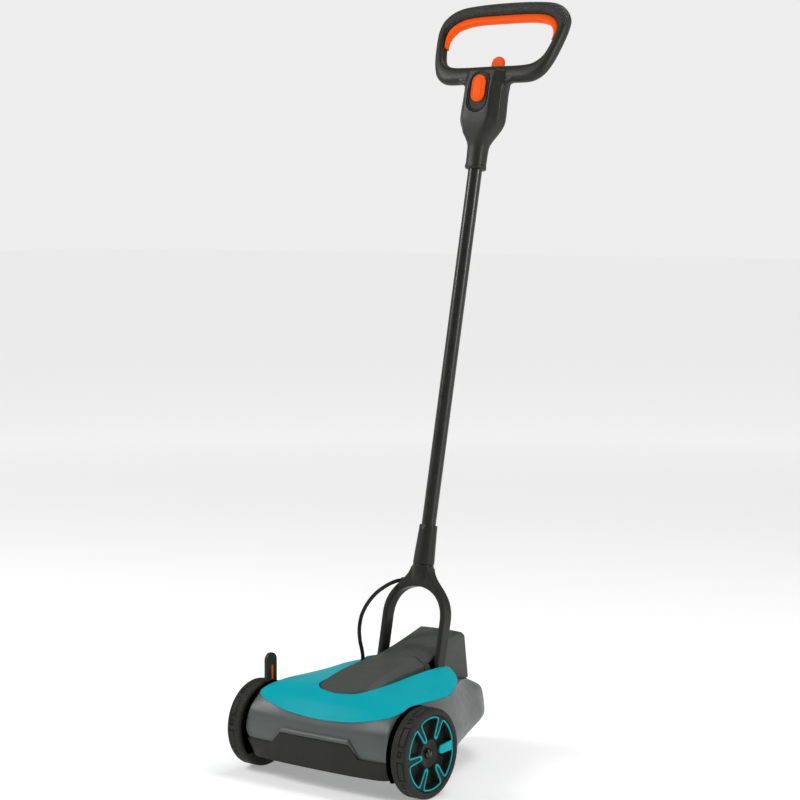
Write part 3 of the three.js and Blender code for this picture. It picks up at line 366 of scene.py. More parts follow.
def fused(name, parts, voxel, smooth, material, body, nodes, cutters=()):
    """Overlapping closed meshes melted into one smooth skin, with the cutters' shapes taken away."""
    obj = raw_object(name + "_raw", parts)
    tools = [raw_object("tool", [cutter]) for cutter in cutters]

    def melt():
        mod = obj.modifiers.new("melt", "REMESH")
        mod.mode = "VOXEL"
        mod.voxel_size = voxel * MM

    melt()
    for tool in tools:
        cut = obj.modifiers.new("cut", "BOOLEAN")
        cut.operation = "DIFFERENCE"
        cut.solver = "EXACT"
        cut.object = tool
    if tools:
        melt()
    relax = obj.modifiers.new("relax", "SMOOTH")
    relax.factor = 0.5
    relax.iterations = smooth
    view = bpy.context.evaluated_depsgraph_get()
    done = bpy.data.meshes.new_from_object(obj.evaluated_get(view))
    for used in (*tools, obj):
        bpy.data.objects.remove(used)
    points = [tuple(v.co) for v in done.vertices]
    faces = [tuple(p.vertices) for p in done.polygons]
    bpy.data.meshes.remove(done)
    make(name, (points, faces), material, body, nodes, sharp=60.0)


def rounded_slab(outline, y0, y1, edge, place, steps=4):
    """An outline of (x, z) corners given thickness along Y with rounded front and back edges."""
    p = np.asarray(outline, float)
    after, before = np.roll(p, -1, 0), np.roll(p, 1, 0)
    along = after - before
    along /= np.linalg.norm(along, axis=1)[:, None]
    area = np.sum(p[:, 0] * after[:, 1] - after[:, 0] * p[:, 1])
    out = np.column_stack([along[:, 1], -along[:, 0]]) * (1 if area > 0 else -1)
    quarter = [math.pi / 2 * k / steps for k in range(steps + 1)]
    rings = []
    for face, inward, turns in ((y0, edge, quarter), (y1, -edge, quarter[::-1])):
        for a in turns:
            q = p - out * edge * (1 - math.sin(a))
            y = face + inward * (1 - math.cos(a))
            rings.append(np.column_stack([q[:, 0], np.full(len(q), y), q[:, 1]]))
    return put(place, lofted(rings))


def oval(low, high, half, grow=0.0):
    """An upright outline with round ends, from its lowest to its highest point, grown all round."""
    r, steps = half + grow, 15
    return (arc((0.0, low + half), r, math.pi, FULL_TURN, steps)
            + arc((0.0, high - half), r, 0.0, math.pi, steps))


def merged(parts):
    """Several shapes as one, without joining them."""
    points, faces, base = [], [], 0
    for p, f in parts:
        points.append(np.asarray(p))
        faces += [tuple(i + base for i in face) for face in f]
        base += len(p)
    return np.concatenate(points), faces


def slab_x(outline, x0, x1, edge, steps=3):
    """An outline of (y, z) corners given thickness along X with rounded edges, in the axle frame."""
    def turn(points):
        a = np.asarray(points)
        return at_axle(np.column_stack([a[:, 1], a[:, 0], a[:, 2]]))
    low, high = sorted((x0, x1))
    return rounded_slab(outline, low, high, edge, turn, steps)


def both_sides(half):
    """A half ring of (x, y, z) points that ends on the middle, with its mirror image after it."""
    return np.array(half + [(-x, y, z) for x, y, z in half[::-1]][1:])


def ramp_up(value, start, stop):
    """0 up to the start, 1 from the stop on, and a straight line between."""
    return min(1.0, max(0.0, (value - start) / (stop - start)))


# ---------- body lines: half outlines from the front centre to the rear centre ----------

RIM = [(0, -57, 32), (65, -56, 32), (112, -51, 32), (123.5, -38, 32), (128.5, 15, 32), (127, 75, 32),
       (110, 128, 32), (88, 175, 32), (70, 220, 34), (52, 262, 44), (28, 281, 50), (0, 286, 51)]
WAIST = [(0, -60, 68), (65, -59.5, 68), (123, -59, 68), (131.6, -53.5, 68), (131.5, 15, 68), (130, 72, 68),
         (120, 126, 68), (106, 178, 68), (92.5, 233, 66), (69, 267, 66), (38, 288, 68), (0, 292, 68)]
BELT = [(0, -58, 89), (64, -57, 91), (120, -54.5, 96), (131.2, -46, 100), (131.5, 12, 102), (131, 70, 101),
        (122, 120, 99), (105, 168, 100), (86, 220, 100), (67, 264, 99), (35, 283, 99), (0, 287, 99)]
SEAM = [(0, -53, 101), (62, -51, 105), (112, -42, 115), (128, -28, 122), (130, 10, 128), (129, 66, 126),
        (120, 108, 124), (102.5, 148, 128.5), (78, 196, 125), (58, 240, 115.5), (29, 255, 114), (0, 257, 114)]
SHOULDER = [(0, -32, 120.5), (54, -29, 123), (98, -18, 128), (113, -4, 131.5), (114, 28, 133.5),
            (111, 70, 133.5), (103, 108, 136), (88, 143, 142.5), (74, 182, 143)]
HOOD_LINE = [(0, -13, 132), (30, -7.5, 133.5), (45.3, 6, 136.8), (49.3, 27, 138.5), (50, 52, 139.5),
             (51.5, 85, 142), (58, 118, 146), (67.5, 148, 150), (68.7, 172, 147.8)]
PER = 8                               # points to a span of these lines
MIDDLE = np.array([0.0, 105.0])       # of the deck in plan, where its rings shrink towards


def both_halves(line):
    right = [tuple(map(float, p)) for p in line]
    left = [(-x, y, z) for x, y, z in right[1:]][::-1]
    return left + right


def closed_ring(line):
    """The whole outline, right round the deck."""
    return spline(both_halves(line)[:-1], PER, True)


def cover_run(line):
    """The front stretch of an outline, as far back as the cover goes."""
    skipped = len(line) - len(HOOD_LINE)
    whole = spline(both_halves(line), PER, False)
    return whole[skipped * PER:len(whole) - skipped * PER]


def inset(ring, by, drop=0.0):
    """A ring drawn in towards the deck's middle, and down."""
    out = ring.copy()
    away = ring[:, :2] - MIDDLE
    distance = np.linalg.norm(away, axis=1)
    out[:, :2] = MIDDLE + away * ((distance - by) / distance)[:, None]
    out[:, 2] -= drop
    return out


def level(ring, z):
    out = ring.copy()
    out[:, 2] = z
    return out


def deck():
    """The grey body as one closed shell, from inside its rim over the outside to under the cover."""
    rim, waist, belt, seam = (closed_ring(x) for x in (RIM, WAIST, BELT, SEAM))
    top = inset(seam, 0, 0.35)
    wall = spline(np.stack([rim, waist, belt, top]).reshape(4, -1), 8, False, 0.36).reshape(25, -1, 3)
    rows = [level(inset(waist, 3), 76), inset(rim, 3), inset(rim, 2.4), inset(rim, 1.2), *wall]
    rows += [inset(top, 0.5, 0.15), inset(top, 3.5, 0.4), inset(top, 3.5, 3), inset(belt, 4),
             level(inset(waist, 4), 80)]
    make("deck_body", put(at_axle, lofted(rows)), GREY, "deck", ["deck_shell"], sharp=40)
    roof(top)
    posts()


def roof(top):
    """The rear of the deck is roofed from its edge in to the foot of the battery housing."""
    keep = [i for i in range(len(top)) if top[i, 1] > 148]
    turn = np.argmax(np.diff(keep + [keep[0] + len(top)]) > 1) + 1
    keep = keep[turn:] + keep[:turn]
    beside, housing = 71.0, 49.2
    rings = []
    for k in range(11):
        t = k / 10
        rise = 1.6 * math.sin(math.pi * min(1.0, t * 1.1)) * (1 - t)
        ring = []
        for x, y, z in top[keep]:
            behind = ramp_up(y, 184, 198)
            inner_x = math.copysign(min(abs(x), beside + (housing - beside) * behind), x)
            inner_y = min(y, 255.6)
            behind_z = 114.4 + 3.0 * max(0.0, (235 - inner_y) / 45)
            inner_z = (z + 1.5) * (1 - behind) + behind_z * behind
            ring.append((x + (inner_x - x) * t, y + (inner_y - y) * t, z + (inner_z - z) * t + rise))
        rings.append(np.array(ring))
    under = [ring - np.array([0, 0, 2.6]) for ring in rings[::-1]]
    make("deck_roof", put(at_axle, lofted(rings + under, wrap=False, loop=True)), GREY, "deck")


def posts():
    """The ears beside the yoke's legs and the roller carrier under the deck."""
    foot = 77
    ear = [(PIVOT_Y - 14, foot), (PIVOT_Y + 14, foot), *arc((PIVOT_Y, PIVOT_Z), 9, 0, math.pi, 15)]
    carrier = [(181, foot), *arc((190, 20), 9, math.pi, FULL_TURN, 15), (199, foot)]
    parts = []
    for side in (-1, 1):
        for near, far in ((38.0, 40.9), (61.0, 65.0)):
            parts.append(slab_x(ear, side * near, side * far, 0.8))
        parts.append(slab_x(carrier, side * 3.0, side * 9.0, 0.8))
    make("deck_ears", merged(parts), GREY, "deck")


def cover():
    """The cyan cover: three lines in a smooth sheet, with its rear ends drawn into a curved tip."""
    seam, shoulder, hood_line = (cover_run(x) for x in (SEAM, SHOULDER, HOOD_LINE))
    outer = spline(np.stack([seam, shoulder, hood_line]).reshape(3, -1), 10, False, 0.34).reshape(21, -1, 3)
    tip = 12
    v = np.linspace(0, 1, len(outer))[:, None]
    for side, ends in ((-1.0, range(tip + 1)), (1.0, range(-1, -2 - tip, -1))):
        head, start = outer[-1, ends[0]].copy(), outer[:, ends[-1]].copy()
        foot = np.array([side * 97.0, 158.5, 129.6])
        end_arc = foot + (head - foot) * v
        end_arc += np.array([side * 2.2, 3.4, 0.9]) * np.sin(math.pi * v) ** 0.8
        for near, column in enumerate(ends):
            outer[:, column] = start + (end_arc - start) * (1 - near / tip)
    lifted = outer.copy()
    lifted[0] = inset(outer[0], 0.1, -0.2)
    lifted[1] = inset(outer[1], -0.5)
    rows = [inset(outer[0], 3.0, 0.4), inset(outer[0], 1.6, 0.3), inset(outer[0], 0.6, 0.15), *lifted]
    rows += [inset(hood_line, by, drop) for by, drop in ((0.3, 0.25), (0.6, 0.8), (-0.2, 2.6))]
    rows.append(inset(shoulder, 1.6, 2.6))
    columns = list(np.stack(rows).transpose(1, 0, 2))
    make("cover", put(at_axle, lofted(columns)), CYAN, "deck", ["top_cover"], sharp=50)


STEP_IN, STEP_OUT = 62, 80            # where the skirt's top edge leaves its middle and reaches its sides
STEP_HIGH, STEP_LOW = 74.5, 56.0


def skirt_top(x):
    return STEP_HIGH - (STEP_HIGH - STEP_LOW) * ramp_up(abs(x), STEP_IN, STEP_OUT)


def skirt():
    """The dark panel round the deck's front, stepped down at both sides."""
    rim, waist = closed_ring(RIM), closed_ring(WAIST)
    front = [k for k in range(len(rim)) if waist[k, 1] < 4]
    turns = np.arange(len(front))
    last = len(front) - 1
    grown = {by: (inset(rim, -by)[front], inset(waist, -by)[front]) for by in (1.4, 3.8, 4.3, 4.6)}
    along = waist[front, 0]
    corners = np.interp((-STEP_OUT, -STEP_IN, STEP_IN, STEP_OUT), along, turns)

    def wall(u, z, by):
        low, high = ([np.interp(u, turns, ring[:, c]) for c in range(2)] for ring in grown[by])
        t = (z - 32) / 36
        return low[0] + (high[0] - low[0]) * t, low[1] + (high[1] - low[1]) * t, z

    rings = []
    for u in sorted([*np.linspace(0, last, 200), *corners]):
        end = min(1.0, min(u, last - u) / 1.5)
        z0, z1 = 29.0 + 5.0 * (1 - end) ** 2, skirt_top(float(np.interp(u, turns, along)))
        ring = [wall(u, z0, 1.4), wall(u, z0, 3.8), wall(u, z0 + 0.6, 4.6)]
        ring += [wall(u, z0 + 0.6 + (z1 - 1.6 - z0) * k / 7, 4.6) for k in range(1, 8)]
        ring += [wall(u, z1 - 0.35, 4.3), wall(u, z1, 3.8), wall(u, z1 - 0.1, 1.4)]
        rings.append(np.array(ring))
    make("skirt", put(at_axle, lofted(rings)), SKIRT, "deck", ["front_skirt"], sharp=30)
    skirt_frame(rim, waist)


def skirt_frame(rim, waist):
    """The grey ledge of the deck that follows the middle of the skirt's top edge and fades out sideways."""
    reach_x = 86

    def front_y(x, z, by):
        ys = []
        for ring in (rim, waist):
            grown = inset(ring, -by)
            front = grown[grown[:, 1] < 0]
            order = np.argsort(front[:, 0])
            ys.append(np.interp(x, front[order, 0], front[order, 1]))
        return ys[0] + (ys[1] - ys[0]) * (z - 20) / 60

    half_width = 130.6
    places = {*np.linspace(-half_width, half_width, 97), -STEP_OUT, -STEP_IN, STEP_IN, STEP_OUT}
    rings = []
    for x in sorted(v for v in places if abs(v) <= reach_x):
        h = min(1.0, max(0.02, (reach_x - abs(x)) / 14))
        z1 = skirt_top(x) + 0.25
        profile = ((0, -0.6, 0), (0, 3.4 * h, 0), (0.4, 3.9 * h, 0.5 * h), (4, 3.9 * h, 3.9 * h),
                   (5, 3.3 * h, 4.7 * h), (7, 0.9 * h, 6.4 * h), (8, -0.6, 7.4 * h))
        rings.append(np.array([(x, front_y(x, z1 + up, by), z1 + rise) for up, by, rise in profile]))
    make("skirt_frame", put(at_axle, lofted(rings)), GREY, "deck", sharp=40)


# ---------- hood and battery lid ----------

# The hood's ridge as (y, z), and the edge of the cover's opening as (x, y, z) with its straight sides.
HOOD_TOP = [(-11, 133.5), (18, 142), (52, 150.5), (95, 157), (142, 162.5), (196, 172), (HOOD_BACK, 183.5)]
TOP_RUN = spline(HOOD_TOP, 24, False, 0.5)
OPENING = cover_run(HOOD_LINE)
OPENING = OPENING[(OPENING[:, 0] >= 0) & (OPENING[:, 1] < 22)]
OPENING = np.vstack([OPENING[np.argsort(OPENING[:, 1])], [(49.05, 32, 138), (49.05, 400, 138)]])
SEAM_EDGE, SEAM_GAP, OVER_FLANK = 0.55, 1.1, 156


def hood_section(y, shrink=0.0):
    """Half section of the hood from its foot to its middle, as (x, z) points."""
    foot = max(float(np.interp(y, OPENING[:, 1], OPENING[:, 0])) - 0.55, 1.2) - shrink
    half = foot * 44.3 / 48.5
    top = float(np.interp(y, TOP_RUN[:, 0], TOP_RUN[:, 1])) - shrink
    widen = ramp_up(y, -12, 128)
    narrow = ramp_up(y, 150, 250)
    edge = min(1.4 + 11.1 * widen - 7.0 * narrow, half * 0.5)
    flank = top - min(1.9 + 5.6 * widen - 2.8 * narrow, (top - 118) * 0.4)
    fall = ramp_up(y, LID_FRONT, LID_FRONT + 60)
    skirt_z = (flank - 3) * (1 - fall) + 117 * fall
    keys = [(foot, 114.2), (foot, skirt_z), (half, flank), (half - edge, top)]
    pts = []
    for (x0, z0), (x1, z1), n in zip(keys[:-1], keys[1:], (5, 6, 4)):
        pts += [(x0 + (x1 - x0) * k / n, z0 + (z1 - z0) * k / n) for k in range(n)]
    crown = 1.1 * min(1.0, half / 40)
    for k in range(9):
        x = (half - edge) * (1 - k / 8)
        pts.append((x, top + crown * (1 - (x / max(half - edge, 0.5)) ** 2)))
    return pts


def crossing(section, z):
    """How far out a half section is at a height."""
    return next(a[0] + (b[0] - a[0]) * (z - a[1]) / (b[1] - a[1])
                for a, b in zip(section, section[1:]) if a[1] <= z < b[1])


def above(section, z):
    """The part of a half section over a height, with the points below it moved onto that height."""
    edge_x = crossing(section, z)
    return [(x, h) if h > z else (edge_x, z) for x, h in section]


def below(section, z):
    """The part of a half section under a height, closed flat to the middle."""
    edge_x = crossing(section, z)
    over = [k for k, point in enumerate(section) if point[1] > z]
    out = list(section)
    for rank, k in enumerate(over):
        out[k] = (edge_x * (1 - rank / max(1, len(over) - 1)), z)
    return out


def lean_at(y):
    """How far back the hood's foot leans, which starts just before its rear face."""
    return 3.2 * ramp_up(y, HOOD_BACK - 6, HOOD_BACK)


def hood_ring(section, y, lean=0.0):
    """A whole section across the hood; the lean moves its lower points back."""
    return both_sides([(x, y + lean * max(0.0, (175 - z) / 57), z) for x, z in section])


def worn(ring, by, over):
    """A ring drawn in by the same amount on both sides, and down where it is over a height."""
    out = ring.copy()
    out[:, 0] -= np.sign(out[:, 0]) * np.minimum(by, np.abs(out[:, 0]))
    out[:, 2] -= np.where(out[:, 2] > over, by, 0.0)
    return out


def nose():
    """The hood in front of the lid, with closer sections round its nose and a softened rear edge."""
    front, back = -12.3, LID_FRONT - SEAM_GAP
    round_nose = front + (45 - front) * (1 - np.cos(np.linspace(0, math.pi / 2, 26)))
    rings = [hood_ring(hood_section(y), y) for y in (*round_nose, *np.linspace(46, back, 34))]
    rings.append(worn(rings[-1], SEAM_EDGE, OVER_FLANK))
    rings[-2][:, 1] -= 0.5
    make("hood_nose", put(at_axle, lofted(rings)), HOOD_GREY, "deck", ["centre_hood"], sharp=24)


def lid():
    """The part of the hood over the battery, with a rounded rear edge."""
    rings = []
    for y in np.linspace(LID_FRONT + SEAM_GAP, HOOD_BACK, 60):
        rings.append(hood_ring(above(hood_section(y), LID_FOOT), y, lean_at(y)))
    rings.insert(0, worn(rings[0], SEAM_EDGE, OVER_FLANK))
    rings[1][:, 1] += 0.5
    last = rings[-1]
    for a in np.linspace(0, math.pi / 2, 4)[1:]:
        soft = worn(last, 1.8 * (1 - math.cos(a)), 125)
        soft[:, 1] += 0.9 * math.sin(a) - 0.9
        rings.append(soft)
    make("lid", put(at_axle, lofted(rings)), HOOD_GREY, "lid", ["battery_lid"], sharp=24)


def hood():
    """The hood's body in two stretches, the lid above the battery, and a black strip in the seam between them
    as painted shade.
    """
    nose()
    hood_housing()
    painted_leg_shade()
    # A glossless black strip just under the surface, seen through the seam: painted shade in the gap.
    strip = [hood_ring(hood_section(y, 1.0), y) for y in (LID_FRONT - 2.0, LID_FRONT + 2.0)]
    make("lid_seam", put(at_axle, lofted(strip)), BLACK_AND_PAINTED_SHADE, "deck")
    lid()


def painted_leg_shade():
    """A black sheet on each flank of the hood, where a leg of the yoke goes down: painted shade in place of a
    recess.
    """
    outline = [(156, 115), (188, 115), (188, 157), (166, 157), (154, 153), (156, 150)]
    sides = [slab_x(outline, side * 46.0, side * 49.15, 0.2) for side in (-1, 1)]
    make("leg_recess", merged(sides), BLACK_AND_PAINTED_SHADE, "deck")


def hood_housing():
    """The body of the hood under the lid."""
    rings = []
    for y in np.linspace(LID_FRONT - 0.15, HOOD_BACK, 40):
        rings.append(hood_ring(below(hood_section(y), LID_FOOT - 0.07), y, lean_at(y)))
    make("battery_housing", put(at_axle, lofted(rings)), HOOD_GREY, "deck", sharp=26)


# ---------- wheels ----------

FIRST_FINGER = 3.5                    # degrees from level to the solid finger
FINGERS = 6
FACE_R, BORE_R = 54.2, 4.6
FACE_X = 163.2


def finger_angle(k):
    return math.radians(FIRST_FINGER + 360 / FINGERS * k)


def turn_by(points, angle):
    """Flat points turned about their origin."""
    c, s = math.cos(angle), math.sin(angle)
    return [(u * c - v * s, u * s + v * c) for u, v in points]


def finger_distance(y, z):
    """Signed distance to the nearest finger, which has a round tip and widens outwards."""
    tip = 25.6
    best = np.full(y.shape, 1e9)
    for k in range(FINGERS):
        a = finger_angle(k)
        u = y * math.cos(a) + z * math.sin(a)
        v = -y * math.sin(a) + z * math.cos(a)
        width = 4.0 + (np.clip(u, 26, 54) - 26) * 0.06
        best = np.minimum(best, np.where(u < tip, np.hypot(u - tip, v), np.abs(v)) - width)
    return best


def wheel_face(side):
    """The wheel as a dish with raised fingers, closed at the back."""
    sign = 1 if side == "right" else -1
    body = f"front_wheel_{side}"
    segments = 288
    angle = np.arange(segments) * FULL_TURN / segments

    def turned_ring(x, r):
        return np.column_stack([sign * x, r * np.cos(angle), r * np.sin(angle) + WHEEL_R])

    rings = []
    for r in np.linspace(BORE_R, FACE_R, 100):
        wall = np.clip(finger_distance(r * np.cos(angle), r * np.sin(angle)) / 2.2, 0, 1)
        wall = wall * wall * (3 - 2 * wall)
        rim_wall = np.clip((50.6 - r) / 1.6, 0, 1)
        floor = 152.5 + 1.5 * np.clip((40 - r) / 14, 0, 1)
        cone = 157.4 + 3.6 * np.clip((r - 8) / 13, 0, 1)
        centre = np.clip((23.5 - r) / 4.0, 0, 1)
        low = floor * (1 - centre) + cone * centre
        depth = np.minimum(np.maximum(wall, np.clip((21.0 - r) / 2.5, 0, 1)), rim_wall)
        rounding = max(0.0, r - 53.4) * 0.9
        rings.append(turned_ring(FACE_X - (FACE_X - low) * depth - rounding, r))
    for x, r in ((141, FACE_R), (141, 50.5), (150, 48.5), (150, 14), (147, 12), (147, BORE_R)):
        rings.append(turned_ring(np.full(segments, float(x)), r))
    face = put(at_axle, lofted(rings, loop=True))
    make(f"wheel_face_{side}", face, WHEEL, body, [f"wheel_{side}"], sharp=50)
    trim(side, sign, body)
    cap(side, sign, body)
    tyre(side, sign, body)


def ribbon(path, widths, x0, x1, sign):
    """A flat closed band that follows a path in the wheel's plane, with softened edges."""
    p = np.asarray(path, float)
    along = np.roll(p, -1, 0) - np.roll(p, 1, 0)
    along /= np.linalg.norm(along, axis=1)[:, None]
    across = np.column_stack([-along[:, 1], along[:, 0]])
    soft = 0.25
    rings = []
    for q, s, w in zip(p, across, widths):
        section = ((x0, -w / 2), (x1 - soft, -w / 2), (x1, soft - w / 2),
                   (x1, w / 2 - soft), (x1 - soft, w / 2), (x0, w / 2))
        rings.append(np.array([(sign * x, q[0] + s[0] * v, q[1] + s[1] * v + WHEEL_R) for x, v in section]))
    return lofted(rings, loop=True)


def trim_path():
    """The trim's line as (y, z, width) rows: round the rim, and in round every finger but the first."""
    rim_r, tip, half, mouth = 52.0, 26.2, 3.3, 0.118
    rows = []
    for k in range(FINGERS):
        a = finger_angle(k)
        if k > 0:
            sides = [(u, half + (u - 26) * 0.07, 2.0) for u in np.linspace(tip, 49.0, 16)]
            shape = [(u, -v, w) for u, v, w in sides[::-1]]
            for b in np.linspace(-math.pi / 2, math.pi / 2, 15)[1:-1]:
                shape.append((tip - 3.1 * math.cos(b), half * math.sin(b), 2.0 + 2.6 * math.cos(b) ** 2))
            shape += sides
            rows += [(*turn_by([(u, v)], a)[0], w) for u, v, w in shape]
        start = a + (mouth if k > 0 else 0.0)
        end = finger_angle(k + 1) - (mouth if k < FINGERS - 1 else 0.0)
        rim = [(*point, 2.1) for point in arc((0.0, 0.0), rim_r, start, end, 30)]
        rows += rim if k < FINGERS - 1 else rim[:-1]
    return np.array(rows)


def trim(side, sign, body):
    """One line round every window and finger, with one finger filled in."""
    rows = trim_path()
    closed = np.vstack([rows, rows[:1]])
    step = np.linalg.norm(np.diff(closed[:, :2], axis=0), axis=1)
    at = np.concatenate([[0.0], np.cumsum(step)])
    even = np.linspace(0, at[-1], 1300, endpoint=False)
    path = np.column_stack([np.interp(even, at, closed[:, c]) for c in range(3)])
    for _ in range(38):
        path = path * 0.5 + (np.roll(path, 1, 0) + np.roll(path, -1, 0)) * 0.25
    path = path[::2]
    line = put(at_axle, ribbon(path[:, :2], path[:, 2], 162.8, 164.3, sign))
    outline = [(52.4, -7.2), (26.5, -6.1), *arc((26.0, 0.0), 6.1, math.pi + 1.4, math.pi - 1.4, 13),
               (26.5, 6.1), (52.4, 7.2)]
    placed = [(y, z + WHEEL_R) for y, z in turn_by(outline, finger_angle(0))]
    solid_finger = slab_x(placed, sign * 161.8, sign * 164.3, 0.3)
    both = merged([line, solid_finger])
    make(f"trim_{side}", both, TRIM_CYAN, body, [f"wheel_trim_{side}"], sharp=50)


def cap(side, sign, body):
    dome = [(0.01, 157.6), (7.2, 157.6), (7.4, 158.4), (7.0, 159.6), (6.2, 160.9), (4.9, 162.1), (3.2, 162.9),
            (1.5, 163.3), (0.01, 163.4)]
    shape = turned([(r, sign * x) for r, x in dome], 48, (0.0, WHEEL_R), "x")
    make(f"hub_dome_{side}", put(at_axle, shape), GLOSS_BLACK, body, [f"hub_cap_{side}"], sharp=50)


def tyre(side, sign, body):
    """The tyre with long and short blocks outlined by grooves, and fine grooves at its inner edge."""
    segments, steps, groove = 720, 46, 1.5
    profile = [(54.4, 139.2), (58.0, 138.7), (61.5, 138.8), (63.6, 139.8), (64.6, 141.4), (WHEEL_R, 142.6)]
    profile += [(WHEEL_R, 142.6 + 18.4 * k / steps) for k in range(1, steps)]
    profile += [(WHEEL_R, 161.0), (64.6, 162.4), (63.9, 163.6), (62.7, 164.6), (61.2, 165.2), (59.4, 165.45),
                (57.5, 165.4), (56.2, 165.0), (55.2, 164.3), (54.4, 163.4)]
    radius, x = np.array(profile).T
    rings = []
    for i in range(segments):
        degrees = i * 360.0 / segments
        a = math.radians(degrees)
        r = radius.copy()
        beat = degrees % 45.0
        for low, high, x0, x1 in ((1.0, 25.5, 151.4, 161.8), (32.0, 38.5, 152.6, 158.2)):
            across = (x > x0 - 0.8) & (x < x1 + 0.4)
            inside = (x >= x0 + 0.7) & (x <= x1 - 1.2)
            if low - 0.9 < beat < high + 0.9 and min(abs(beat - low), abs(beat - high)) < 0.9:
                r = np.where(across, r - groove, r)
            elif low < beat < high:
                r = np.where(across & ~inside, r - groove, r)
                r = np.where(inside, r - 0.35, r)
        if degrees % 5.0 < 0.8:
            r = np.where((x > 141) & (x < 148.6), r - 0.5, r)
        rings.append(np.column_stack([sign * x, r * math.cos(a), r * math.sin(a) + WHEEL_R]))
    make(f"tyre_tread_{side}", put(at_axle, lofted(rings, loop=True)), TYRE, body, [f"tyre_{side}"], sharp=42)


def arches():
    """The round dark linings between the deck and the wheels, cut off flat low down."""
    low = math.asin((29 - WHEEL_R) / WHEEL_R)
    outline = arc((0.0, WHEEL_R), WHEEL_R, low, math.pi - low, 72)
    for side, inner, outer in (("right", 132.2, 137.0), ("left", -132.2, -133.9)):
        lining = slab_x(outline, inner, outer, 0.5)
        make(f"arch_{side}", lining, BLACK_AND_PAINTED_SHADE, "deck", [f"wheel_arch_{side}"], sharp=50)


def lever():
    """The cutting height lever with its thick upper part, and the stripe on it."""
    half, y, top = 11.4, 4.6, 171.3
    inner_x, outer_x = -134.4, -138.0

    def upright(foot):
        return [(y - half, foot), (y + half, foot), *arc((y, top - half), half, 0, math.pi, 25)]

    parts = [slab_x(upright(112), outer_x, inner_x, 0.7), slab_x(upright(131), -141.0, inner_x, 1.6, 5),
             slab_x(circle((24, 89.5), 12, 32), outer_x, inner_x, 0.7),
             slab_x([(12, 86), (34, 92), (11.5, 128), (-7, 120)], outer_x, inner_x, 0.5)]
    fused("height_grip", parts, 0.55, 2, BLACK, "crank", ["height_lever"])
    stripe = [(y - 1.5, 131.5), (y + 1.5, 131.5), (y + 1.5, 153.0), (y - 1.5, 153.0)]
    make("lever_stripe", slab_x(stripe, -134.9, -134.1, 0.15), ORANGE, "crank", ["lever_marker"])


# ---------- yoke, sleeve and tube ----------

def bezier(a, b, c, d, n):
    """Points on a cubic curve from a towards d, without d itself."""
    out = []
    for k in range(n):
        t = k / n
        out.append(tuple((1 - t)**3 * p + 3 * (1 - t)**2 * t * q + 3 * (1 - t) * t**2 * r + t**3 * s
                         for p, q, r, s in zip(a, b, c, d)))
    return out


def rounded(half_width, front, back, power, count):
    """A rounded section as (across, behind) points; a higher power makes it squarer."""
    ring = []
    for i in range(count):
        a = FULL_TURN * i / count
        c, s = math.cos(a), math.sin(a)
        depth = front if s < 0 else back
        ring.append((math.copysign(half_width * abs(c) ** (2 / power), c),
                     math.copysign(depth * abs(s) ** (2 / power), s)))
    return ring


def yoke():
    """The two-legged arch with its stem and pin bosses, and the ring at its neck."""
    outer, inner, top, arch = 58.2, 49.6, 159.4, 129.5
    shape = [(-outer, 0.0), *bezier((-outer, 84), (-outer, 112), (-41, 126), (-29, 138), 14)]
    shape += [*bezier((-29, 138), (-22, 145), (-17, 152), (-16, top), 6), (-16, top), (16, top)]
    shape += bezier((16, top), (17, 152), (22, 145), (29, 138), 6)
    shape += bezier((29, 138), (41, 126), (outer, 112), (outer, 84), 14)
    shape += [(outer, 84), (outer, 0), (inner, 0)]
    shape += bezier((inner, 82), (inner, 110), (30, arch), (0, arch), 16)
    shape += [*bezier((0, arch), (-30, arch), (-inner, 110), (-inner, 82), 16), (-inner, 82), (-inner, 0)]
    stem = []
    for z in np.linspace(130, 163.2, 12):
        keys = [130, 132, 140, 148, 163.4]
        x = np.interp(z, keys, [21, 21, 18.5, 17.3, 16.4])
        depth = np.interp(z, keys, [9, 10.5, 13.2, 15.2, 16.4])
        stem.append([(*p, z) for p in rounded(x, depth, depth, 2.0, 64)])
    parts = [rounded_slab(shape, -10.3, 10.3, 1.6, at_stick), put(at_stick, lofted(stem))]
    for side in (-1, 1):
        boss = []
        for x, r in ((inner, 10.4), (inner + 0.5, 11.0), (outer - 0.5, 11.0), (outer, 10.4)):
            boss.append([(side * x, *p) for p in circle((0.0, 0.0), r, 48)])
        parts.append(put(at_stick, lofted(boss)))
    fused("yoke_fork", parts, 0.9, 7, BLACK, "handle", ["yoke"])
    collar = [(11.2, 156), (15.4, 156), (15.4, 163.4), (15.1, 163.75), (11.2, 163.75)]
    make("yoke_neck_ring", put(at_stick, turned(collar, 64)), BLACK, "handle", sharp=50)


def sleeve():
    """The tapered clamp nut with its notch at the front of the upper rim."""
    bore, notch_foot = 11.35, 220.2
    profile = [(bore, 163.9), (16.2, 163.9), (16.45, 164.3), (16.45, 166.0), (16.3, 171.8)]
    profile += [(16.3 - 2.2 * k / 10, 171.8 + 44.5 * k / 10) for k in range(1, 11)]
    profile += [(14.0, 220.0), (13.8, 223.4), (13.5, 224.0), (13.0, 224.3), (bore, 224.3)]
    points, faces = turned(profile, 96)
    x, y, z = points.T
    notch = (z > notch_foot) & (np.abs(x) < 3.0) & (y < 0) & (np.hypot(x, y) > bore + 0.05)
    points[notch, 2] = notch_foot
    make("sleeve_nut", (at_stick(points), faces), BLACK, "sleeve", ["clamp_sleeve"], sharp=45)


def tube():
    bore = TUBE_R - 1.3
    profile = [(bore, 148.8), *[(TUBE_R, z) for z in (148.8, 300, 500, 700, 813)], (bore, 813)]
    make("tube", put(at_stick, turned(profile, 64)), TUBE, "handle", ["handle_tube"], sharp=45)


# ---------- handle ----------

